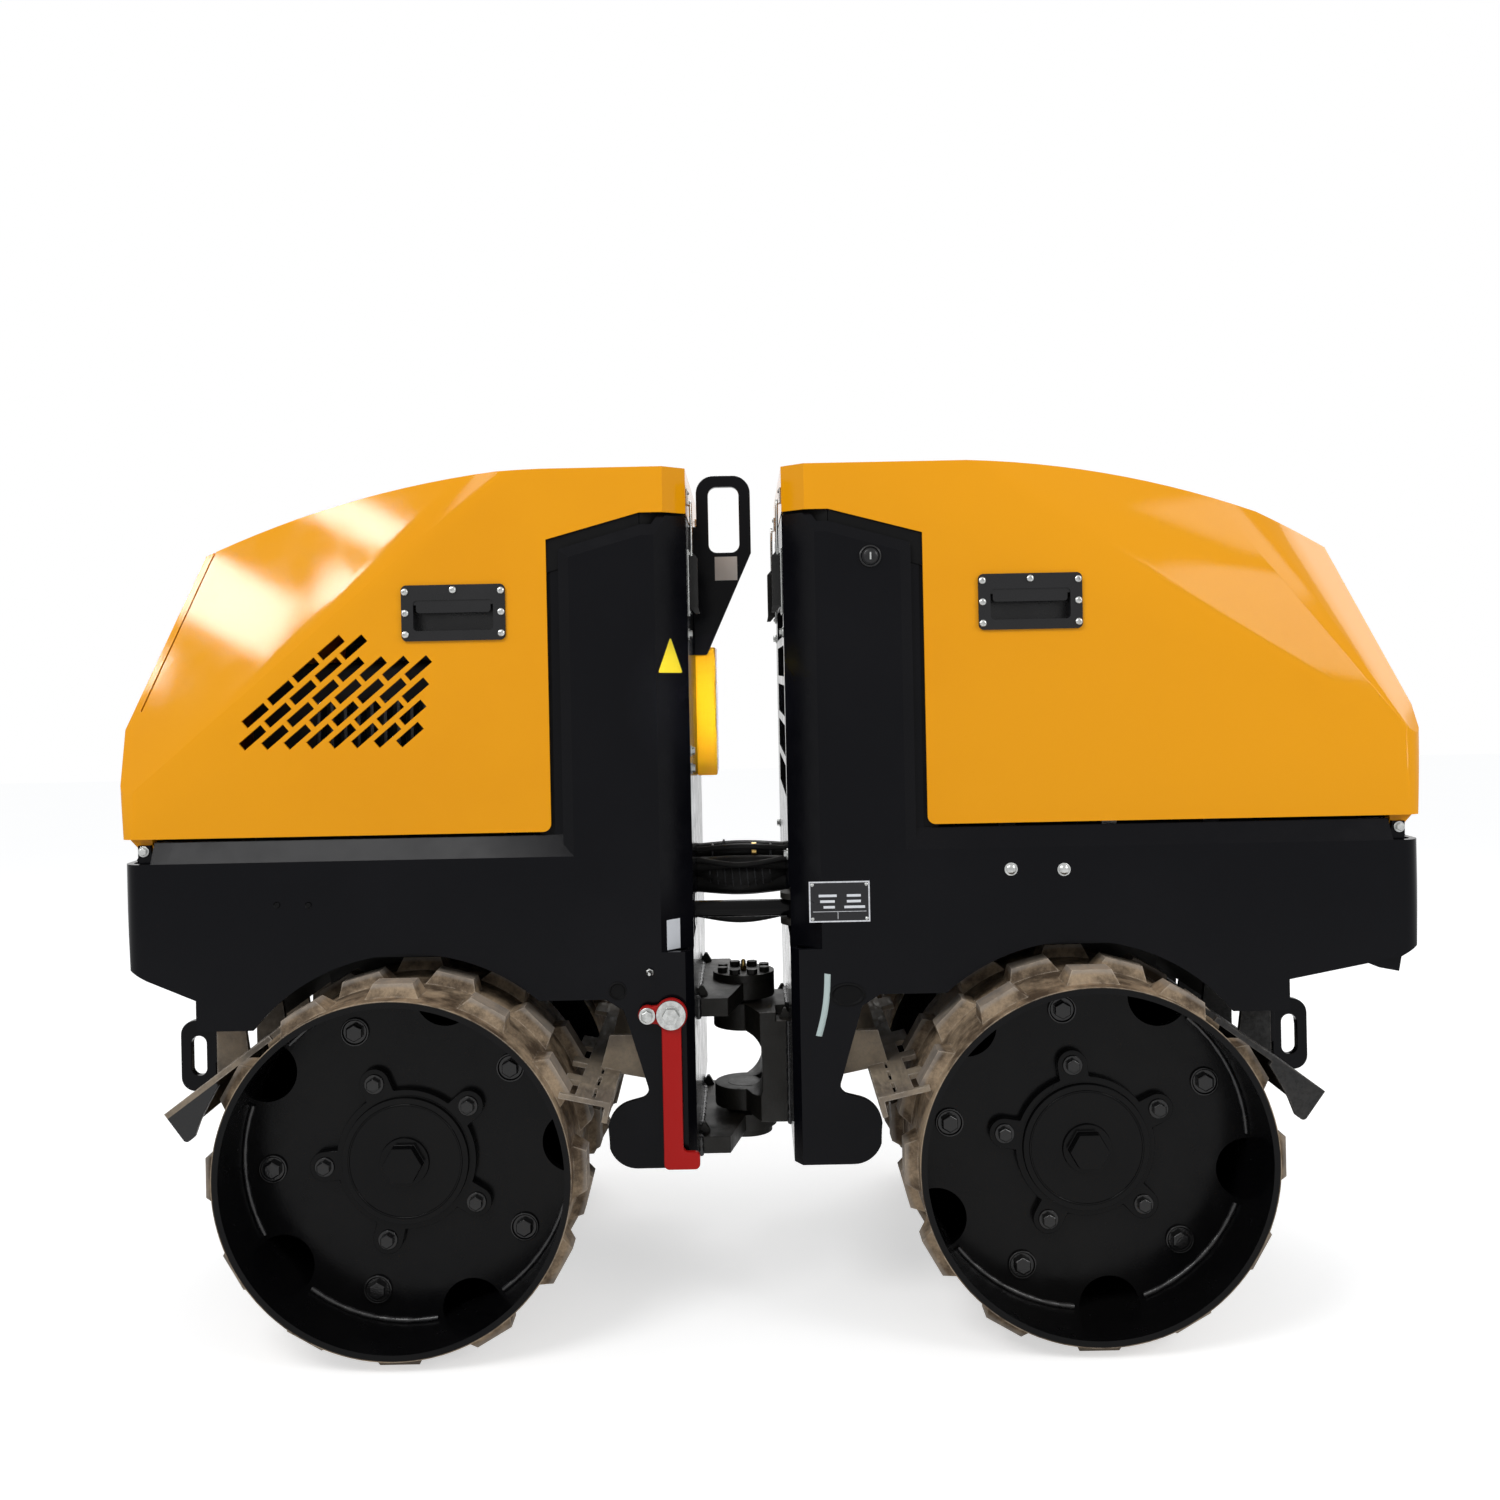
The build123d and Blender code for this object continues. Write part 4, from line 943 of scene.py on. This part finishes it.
def addGussets():
    # small webs between the lugs and the bulkheads
    gusset = bevelUprights(newCylinder(0.0135, 0.011, 3), 0.0035, 1)
    masters["gusset"] = roundEdges(gusset, 0.001)
    for half, (reach, levels) in hingeSet["gussets"].items():
        x = placeX(half, layout["faceU"] - hingeSet["gussetIn"])
        places = [aimed((x, y, z), (0, -1, 0)) for y in (-reach, reach) for z in levels]
        spread(gusset, half + "Gussets", places, "castBlack", half + "_half")


webSet = {"u": (0.690, 0.800), "half": 0.006, "z": (0.40, 0.515), "low": 0.478, "fall": 0.70}


def addEndWebs():
    # a web between the drums stands on each outer scraper's leaf and closes the view through the end
    for half in layout["sides"]:
        start, end = sorted(placeX(half, u) for u in webSet["u"])
        foot, top = webSet["z"]
        web = newBlock((start, -webSet["half"], foot), (end, webSet["half"], top), 0.001)
        for vertex in web.data.vertices:
            if vertex.co.z < (foot + top) / 2:
                out = abs(vertex.co.x - layout["hingeX"]) - webSet["u"][0]
                vertex.co.z = webSet["low"] - webSet["fall"] * out
        finishPiece(web, "castBlack", half + "_half")


weldHinge()
addGussets()
addEndWebs()
print("hinge dressed")


# bolts, plates and signs on the frames' sides

sideSet = {
    "frameY": 0.305,
    "bolts": [(0.404, 0.680), (0.483, 0.678)],
    "plugs": [(0.693, 0.648), (0.646, 0.647)],
    "plug": (0.0048, 0.0016, 24, [(0.001, -0.0011)]),
    "lockEar": (-0.1895, -0.321, 0.4752),
    "nipple": (-0.1849, -0.305, 0.537),
    "keyLock": (0.156, -0.305, 1.1514),
    "keyRing": (0.0165, 0.004, 44, [(0.0022, 0.0012), (0.0016, -0.0028)]),
    "keyBarrel": (0.0105, 0.006, 40, [(0.0016, 0.0010)], 0.0005),
    # the dark disc that stands for a tie-down opening as painted shade, and where each one lies
    "eyeHole": (0.0175, 0.003, 48, [(0.0022, 0.0008), (0.0020, -0.0022)], -0.0011),
    "eyeHoles": {"front": ((0.1095, 0.4975), (1.55, 1.0, 1)), "rear": ((-0.2336, 0.5100), (0.75, 0.75, 1))},
}


def addSideBolts():
    plug = smooth(turnedPart(*sideSet["plug"]))
    for master, name, half, spots, finish in ((masters["domeBolt"], "SideBolts", "front", sideSet["bolts"], "zinc"),
                                              (plug, "SidePlugs", "rear", sideSet["plugs"], "hubBlack")):
        places = []
        for u, z in spots:
            places += onSides(placeX(half, u), sideSet["frameY"], z)
        spread(master, half + name, places, finish, half + "_half")
    spread(masters["sideBolt"], "lockEarBolt", [aimed(sideSet["lockEar"], (0, -1, 0))], "zinc", "lock_bar")
    spread(masters["nipple"], "rearSideNipple", [aimed(sideSet["nipple"], (0, -1, 0))], "zinc", "rear_half")


def addKeyLock():
    ring = roundEdges(turnedPart(*sideSet["keyRing"]), 0.0004, 1)
    barrel = smooth(turnedPart(*sideSet["keyBarrel"]))
    slit = newBlock((-0.0012, -0.0055, 0.0060), (0.0012, 0.0055, 0.0082), 0.0003)
    place = [aimed(sideSet["keyLock"], (0, -1, 0))]
    spread(joinPieces("lockCase", [barrel, ring]), "frontKeyLock", place, "handleBlack", "front_half")
    spread(slit, "frontKeySlit", place, "zinc", "front_half")


def addEyeHoleShades():
    # dark dished discs with a turned edge on the side plates: painted shade that stands for the tie-down openings
    for half, ((x, z), scale) in sideSet["eyeHoles"].items():
        rim = turnedPart(*sideSet["eyeHole"])
        rim.scale = scale
        rim = smooth(applyPlace(rim))
        spread(rim, half + "EyeHoles", onSides(x, sideSet["frameY"], z), "holeBlack", half + "_half")


plateSet = {
    "middle": (0.1000, 0.6366),
    "half": (0.0455, 0.0305),
    "border": 0.0022,
    "screw": (0.0405, 0.0255, 0.0013),
    # left and right end and middle height of each empty box
    "boxes": [(-0.031, -0.004, 0.0090), (-0.029, -0.007, 0.0005), (-0.024, -0.007, -0.0080),
              (0.011, 0.032, 0.0090), (0.011, 0.032, 0.0005), (0.007, 0.038, -0.0080)],
    "boxHalf": 0.0019,
    "rules": [(-0.0400, 0.0400, -0.0150, -0.0142), (-0.0030, -0.0022, -0.0262, -0.0150)],
}


def addDataPlate():
    # a blank plate: a bright edge, a black field with empty boxes, four screws
    (x, z), (halfX, halfZ) = plateSet["middle"], plateSet["half"]
    border, y, tall = plateSet["border"], -sideSet["frameY"], plateSet["boxHalf"]
    place = [aimed((x, y, z), (0, -1, 0))]
    rim = newBlock((-halfX, -halfZ, 0), (halfX, halfZ, 0.0012), 0.0003, (border, 0))
    spread(rim, "dataPlateRim", place, "plateSilver", "front_half")
    halfX, halfZ = halfX - border, halfZ - border
    field = newBlock((-halfX, -halfZ, 0.0002), (halfX, halfZ, 0.0015), 0.0002, (0.0008, 0.0001))
    spread(field, "dataPlateField", place, "plateBlack", "front_half")
    boxes = [newBlock((left, level - tall, 0.0012), (right, level + tall, 0.0018), 0.0002, (0.0004, 0.0001))
             for left, right, level in plateSet["boxes"]]
    spread(joinPieces("boxes", boxes), "dataPlateBoxes", place, "plateWhite", "front_half")
    rules = [newBlock((left, low, 0.0012), (right, high, 0.0017), 0.0001, (0.0001, 0.0001))
             for left, right, low, high in plateSet["rules"]]
    spread(joinPieces("rules", rules), "dataPlateRules", place, "plateSilver", "front_half")
    screwX, screwZ, proud = plateSet["screw"]
    places = [aimed((x + a * screwX, y - proud, z + b * screwZ), (0, -1, 0)) for a in (-1, 1) for b in (-1, 1)]
    spread(masters["plateScrew"], "dataPlateScrews", places, "zinc", "front_half")


signSet = {
    "corner": (0.260, 0.692, 0.722),
    "triangle": {"form": (0.0335, 0.0008, 3, []), "scale": (0.82, 1.06, 1), "along": 0.0365, "z": 1.001},
    "tag": {"half": (0.013, 0.0225), "along": 0.0410, "z": 0.590},
    "card": {"half": (0.0190, 0.0200), "place": (-0.0628, 0.0078, 1.158)},
    "thickness": 0.0007,
}


def chamferPlace(along, z):
    # a place on the rear tower's slanting corner face, measured outwards from its edge at the gap
    y, slant, straight = signSet["corner"]
    x = placeX("rear", layout["faceU"] + straight * along)
    return [aimed((x, -(y + slant * along), z), (slant, -straight, 0))]


def newCard(half):
    return newBlock((-half[0], -half[1], 0), (*half, signSet["thickness"]), 0.0002, (0.0006, 0.0001))


def addSigns():
    # blank signs: a yellow triangle and a white tag on the rear tower's corner, and one on the lifting eye
    triangle, tag, card = signSet["triangle"], signSet["tag"], signSet["card"]
    sign = raiseTop(bevelUprights(turnedPart(*triangle["form"]), 0.0035, 3), 0.0006, 0.0001)
    top = max(sign.data.vertices, key=lambda vertex: vertex.co.y).co.copy()
    sign.rotation_euler = (0, 0, math.atan2(top.x, top.y))
    sign.scale = triangle["scale"]
    applyPlace(sign)
    spread(sign, "cornerTriangle", chamferPlace(triangle["along"], triangle["z"]), "signYellow", "rear_half")
    spread(newCard(tag["half"]), "cornerTag", chamferPlace(tag["along"], tag["z"]), "plateWhite", "rear_half")
    spread(newCard(card["half"]), "liftingEyeCards", onSides(*card["place"]), "cardCream", "rear_half")


strapSet = {"top": (0.0800, 0.529), "foot": (0.0655, 0.4365), "half": 0.0046, "thickness": 0.0014, "proud": 0.0016,
            "bulge": 0.0016, "drift": 0.0035, "cuts": 15}


def addStrap():
    # a pale woven tie that hangs from the opening, nearly flat against the plate
    (topX, topZ), (footX, footZ) = strapSet["top"], strapSet["foot"]
    long, half = math.hypot(topX - footX, topZ - footZ), strapSet["half"]
    deselectAll()
    bpy.ops.mesh.primitive_plane_add(size=1, location=(0, 0, 0))
    strap = bpy.context.object
    strap.scale = (2 * half, long, 1)
    applyPlace(strap)
    editParts(strap, "FACE", lambda face: True)
    bpy.ops.mesh.subdivide(number_cuts=strapSet["cuts"])
    endEdit()
    for vertex in strap.data.vertices:
        bow = abs(math.sin(math.pi * (vertex.co.y / long + 0.5)))
        vertex.co.z = strapSet["proud"] + strapSet["bulge"] * bow - 0.35 * vertex.co.x ** 2 / half
        vertex.co.x += strapSet["drift"] * bow
    wall = strap.modifiers.new("wall", "SOLIDIFY")
    wall.thickness = strapSet["thickness"]
    bpy.ops.object.modifier_apply(modifier=wall.name)
    middle = ((topX + footX) / 2, -sideSet["frameY"], (topZ + footZ) / 2)
    lean = (topX - footX, 0, topZ - footZ)
    spread(smooth(strap, 50), "paleStrap", [aimed(middle, (0, -1, 0), lean)], "strapPale", "front_half")


# latches in the gap: a draw latch on each frame's bulkhead and its keeper on the hood

latchSet = {
    "y": 0.225,
    "base": {"half": 0.014, "z": (1.070, 1.172), "thick": 0.0025, "screws": (0.009, 0.006, 0.003)},
    "grip": {"half": 0.0115, "z": (1.084, 1.160), "proud": 0.0155},
    # pull, taper and how far along the taper's middle lies, at the grip's low and high ends
    "gripLow": ((0, -0.010, 0.004), (1.35, 1, 0.5)),
    "gripHigh": ((0, 0.008, -0.003), (0.7, 1, 0.6)),
    "bow": {"top": 1.246, "half": 0.0085, "radius": 0.0021},
    "keeper": {"half": 0.011, "z": (1.238, 1.262), "thick": 0.0022, "lift": 0.004, "screws": (0.006, 0.001)},
    "keeperHook": (0, -0.002, 0.0055),
}


def addLatch(half, sideName):
    sign, body = layout["sides"][half], half + "_half"
    base, grip, bow, keeper = (latchSet[part] for part in ("base", "grip", "bow", "keeper"))
    out, y = (-sign, 0, 0), sidesOut[sideName] * latchSet["y"]
    (baseLow, baseHigh), (keeperLow, keeperHigh) = base["z"], keeper["z"]

    def facing(z, proud=0.0, dy=0.0):
        # a place that looks into the gap
        return aimed((placeX(half, layout["faceU"] - proud), y + dy, z), out)

    def place(master, name, places, finish, rider):
        spread(master, f"{half}{name}{sideName}", places, finish, rider)

    level = (baseLow + baseHigh) / 2
    tall = (baseHigh - baseLow) / 2
    foot = newBlock((-base["half"], -tall, 0), (base["half"], tall, base["thick"]), 0.0006, (0.003, 0.0006))
    place(foot, "LatchBase", [facing(level)], "zinc", body)
    low, high = (z - level for z in grip["z"])
    handle = newBlock((-grip["half"], low, 0.002), (grip["half"], high, grip["proud"]), 0.0001)
    move, taper = latchSet["gripLow"]
    pullFace(handle, lambda face: face.normal.y < -0.9, move, taper, (0, low + move[1], grip["proud"]))
    move, taper = latchSet["gripHigh"]
    pullFace(handle, lambda face: face.normal.y > 0.9, move, taper, (0, high + move[1], 0.003))
    place(roundEdges(handle, 0.0014), "LatchGrip", [facing(level)], "rubber", body)
    top, wide = bow["top"] - level, bow["half"]
    leg = [(wide, high - 0.006, 0.0065), (wide, (high + top) / 2, 0.0070), (wide, top - 0.004, 0.0062),
           (wide * 0.5, top + 0.001, 0.0060)]
    points = [(-x, along, proud) for x, along, proud in leg] + leg[::-1]
    place(makeTube("bow", points, bow["radius"], 0, 6), "LatchBow", [facing(level)], "zinc", body)
    across, inset, proud = base["screws"]
    places = [facing(z, proud, dy) for dy in (-across, across) for z in (baseLow + inset, baseHigh - inset)]
    place(masters["plateScrew"], "LatchScrews", places, "zinc", body)
    tall = (keeperHigh - keeperLow) / 2
    plate = newBlock((-keeper["half"], -tall, 0), (keeper["half"], tall, keeper["thick"]), 0.0006)
    pullFace(plate, lambda face: face.normal.y < -0.9 and abs(face.normal.z) < 0.3, latchSet["keeperHook"])
    seat = facing((keeperLow + keeperHigh) / 2 + keeper["lift"])
    place(roundEdges(plate, 0.0005, 1), "LatchKeeper", [seat], "zinc", half + "_hood")
    across, inset = keeper["screws"]
    places = [facing(keeperHigh - inset, keeper["thick"], dy) for dy in (-across, across)]
    place(masters["plateScrew"], "KeeperScrews", places, "zinc", half + "_hood")


# bolts along the outer scrapers' folded backs and on the towers' faces in the gap, nuts on the hoods' hinge pins

boltSet = {
    "scraper": {"u": 0.8180, "z": 0.3525, "dip": 35.8, "ys": (-0.345, -0.150, 0.150, 0.345)},
    "gap": {"rear": [(0.232, 1.042), (0.232, 0.862), (0.232, 0.835)], "front": [(0.232, 1.042), (0.232, 0.700)]},
    # each nut's y and the way it looks: inwards or outwards
    "pin": {"u": {"front": 0.991, "rear": 0.896}, "z": 0.730, "nuts": ((0.2512, -1), (0.2908, 1))},
}


def addFrameBolts(half, sign):
    scraper, pin, body = boltSet["scraper"], boltSet["pin"], half + "_half"
    lean = math.radians(scraper["dip"])
    out = (sign * math.cos(lean), 0, -math.sin(lean))
    places = [aimed((placeX(half, scraper["u"]), y, scraper["z"]), out) for y in scraper["ys"]]
    spread(masters["sideBolt"], half + "ScraperBolts", places, "boltSteel", body)
    x = placeX(half, layout["faceU"])
    places = [aimed((x, side * y, z), (-sign, 0, 0)) for y, z in boltSet["gap"][half] for side in (-1, 1)]
    spread(masters["smallBolt"], half + "GapBolts", places, "zinc", body)
    x = placeX(half, pin["u"][half])
    places = [aimed((x, side * y, pin["z"]), (0, way * side, 0)) for y, way in pin["nuts"] for side in (-1, 1)]
    spread(masters["smallBolt"], half + "HoodPinNuts", places, "zinc", body)


# rubber seals that close the slit between tower and hood from inside

sealSet = {"u": (0.236, 0.301), "y": (0.2655, 0.2845), "z": (0.700, 1.172), "topU": (0.076, 0.142, 0.290),
           "topZ": (1.176, 1.2335), "slope": 0.279, "cornerCut": 0.036}


def addSeals(half):
    seals = []
    for side in sidesOut.values():
        inner, outer = sorted(side * y for y in sealSet["y"])
        start, end = sorted(placeX(half, u) for u in sealSet["u"])
        low, high = sealSet["z"]
        seals.append(newBlock((start, inner, low), (end, outer, high), 0.003))
        near, bend, far = (placeX(half, u) for u in sealSet["topU"])
        low, high = sealSet["topZ"]
        for ends, fall in ((sorted((near, bend)), 0.0), (sorted((bend, far)), sealSet["slope"])):
            top = newBlock((ends[0], inner - 0.004, low), (ends[1], outer, high), 0.002)
            for vertex in top.data.vertices:
                vertex.co.z -= fall * abs(vertex.co.x - bend)
                if abs(vertex.co.x - near) < 0.01:
                    vertex.co.y -= side * sealSet["cornerCut"]
            seals.append(top)
    settle(half + "TowerSeals", seals, "holeBlack", half + "_half")


# what shows on the engine and the tank when a hood is open

fillingSet = {
    "fins": {"from": -0.710, "count": 11, "pitch": 0.021, "thick": 0.006, "y": (-0.186, -0.148), "z": (0.735, 0.950)},
    "cover": {"low": (-0.700, -0.060, 1.004), "high": (-0.480, 0.140, 1.052), "edge": 0.010, "inset": (0.014, 0.010)},
    "cleaner": {"place": (-0.610, -0.208, 0.655), "radius": 0.048, "length": 0.215},
    "clamp": {"away": 0.36, "proud": 0.003, "wide": 0.010},
    # the wheel's and the hub's radius, length, sides, way in front of the middle and soft edge
    "fan": {"place": (-0.447, 0.040, 0.800), "bolts": (0.031, 0.085, 6),
            "parts": [(0.135, 0.022, 64, 0.020, 0.004), (0.048, 0.026, 40, 0.040, 0.003)]},
    "caps": [(0.405, -0.130, 0.980, 0.038), (0.640, 0.140, 0.980, 0.021)],
    "straps": {"xs": (0.352, 0.668), "wide": 0.026, "thick": 0.003, "y": 0.230, "z": (0.588, 0.980)},
    "valve": {"low": (0.470, -0.050, 0.976), "high": (0.600, 0.060, 1.034), "edge": 0.004, "inset": (0.008, 0.004)},
    "gauge": {"low": (0.510, -0.238, 0.690), "high": (0.534, -0.230, 0.900), "screwIn": 0.012},
}


def lyingRoll(radius, length, sides, place, edge, segments=2):
    return roundEdges(newCylinder(radius, length, sides, place, (0, math.radians(90), 0)), edge, segments)


def standing(x, y, z):
    return aimed((x, y, z), (0, 0, 1), (0, 1, 0))


def addEngineFittings():
    fins, cover, cleaner, clamp, fan = (fillingSet[part] for part in ("fins", "cover", "cleaner", "clamp", "fan"))
    pieces = []
    for number in range(fins["count"]):
        x = fins["from"] + number * fins["pitch"]
        low, high = zip(fins["y"], fins["z"])
        pieces.append(newBlock((x, *low), (x + fins["thick"], *high)))
    pieces.append(newBlock(**cover))
    pieces.append(lyingRoll(cleaner["radius"], cleaner["length"], 40, cleaner["place"], 0.006, 3))
    x, y, z = cleaner["place"]
    for side in (-1, 1):
        spot = (x + side * cleaner["length"] * clamp["away"], y, z)
        pieces.append(lyingRoll(cleaner["radius"] + clamp["proud"], clamp["wide"], 40, spot, 0.002))
    finishPiece(smooth(joinPieces("engineFittings", pieces)), "weldBlack", "rear_half")
    x, y, z = fan["place"]
    wheel = [lyingRoll(radius, length, sides, (x + ahead, y, z), edge)
             for radius, length, sides, ahead, edge in fan["parts"]]
    finishPiece(smooth(joinPieces("engineFlywheel", wheel)), "weldBlack", "rear_half")
    ahead, circle, count = fan["bolts"]
    places = []
    for number in range(count):
        turn = math.radians(60 * number + 30)
        places.append(aimed((x + ahead, y + circle * math.cos(turn), z + circle * math.sin(turn)), (1, 0, 0)))
    (lowX, lowY, _), (highX, highY, highZ) = cover["low"], cover["high"]
    places += [standing(x, y, highZ + cover["inset"][1])
               for x in (lowX + 0.030, highX - 0.030) for y in (lowY + 0.030, highY - 0.030)]
    spread(masters["smallBolt"], "engineBolts", places, "zinc", "rear_half")


def addTankFittings():
    straps, valve, gauge = fillingSet["straps"], fillingSet["valve"], fillingSet["gauge"]
    pieces = []
    for x, y, z, radius in fillingSet["caps"]:
        for wide, low, tall in ((radius * 0.8, -0.002, 0.012), (radius, 0.009, 0.020)):
            pieces.append(roundEdges(newCylinder(wide, tall, 28, (x, y, z + low + tall / 2)), 0.002))
    pieces.append(newBlock(**valve))
    finishPiece(smooth(joinPieces("tankFittings", pieces)), "weldBlack", "front_half")
    y, thick, (low, high) = straps["y"], straps["thick"], straps["z"]
    bands = []
    for x in straps["xs"]:
        end = x + straps["wide"]
        bands.append(newBlock((x, -y - thick, high), (end, y + thick, high + thick), 0.0008))
        for inner, outer in ((-y - thick, -y), (y, y + thick)):
            bands.append(newBlock((x, inner, low), (end, outer, high + thick), 0.0008))
    settle("tankStraps", bands, "wrapGrey", "front_half")
    (gaugeX, front, low), (gaugeEnd, _, high) = gauge["low"], gauge["high"]
    settle("tankGauge", [newBlock(gauge["low"], gauge["high"], 0.002)], "plateSilver", "front_half")
    (lowX, lowY, _), (highX, highY, highZ) = valve["low"], valve["high"]
    places = [standing(x, y, highZ + valve["inset"][1])
              for x in (lowX + 0.030, lowX + 0.065, highX - 0.030) for y in (lowY + 0.028, highY - 0.028)]
    places += [aimed(((gaugeX + gaugeEnd) / 2, front, z), (0, -1, 0))
               for z in (low + gauge["screwIn"], high - gauge["screwIn"])]
    spread(masters["smallBolt"], "tankUnions", places, "zinc", "front_half")


for addThing in (addEngineFittings, addTankFittings, addSideBolts, addKeyLock, addDataPlate, addSigns, addEyeHoleShades,
                 addStrap):
    addThing()
for frameHalf, frameSign in layout["sides"].items():
    for latchSide in sidesOut:
        addLatch(frameHalf, latchSide)
    addFrameBolts(frameHalf, frameSign)
    addSeals(frameHalf)
print("frames dressed")
for master in masters.values():
    bpy.data.objects.remove(master)
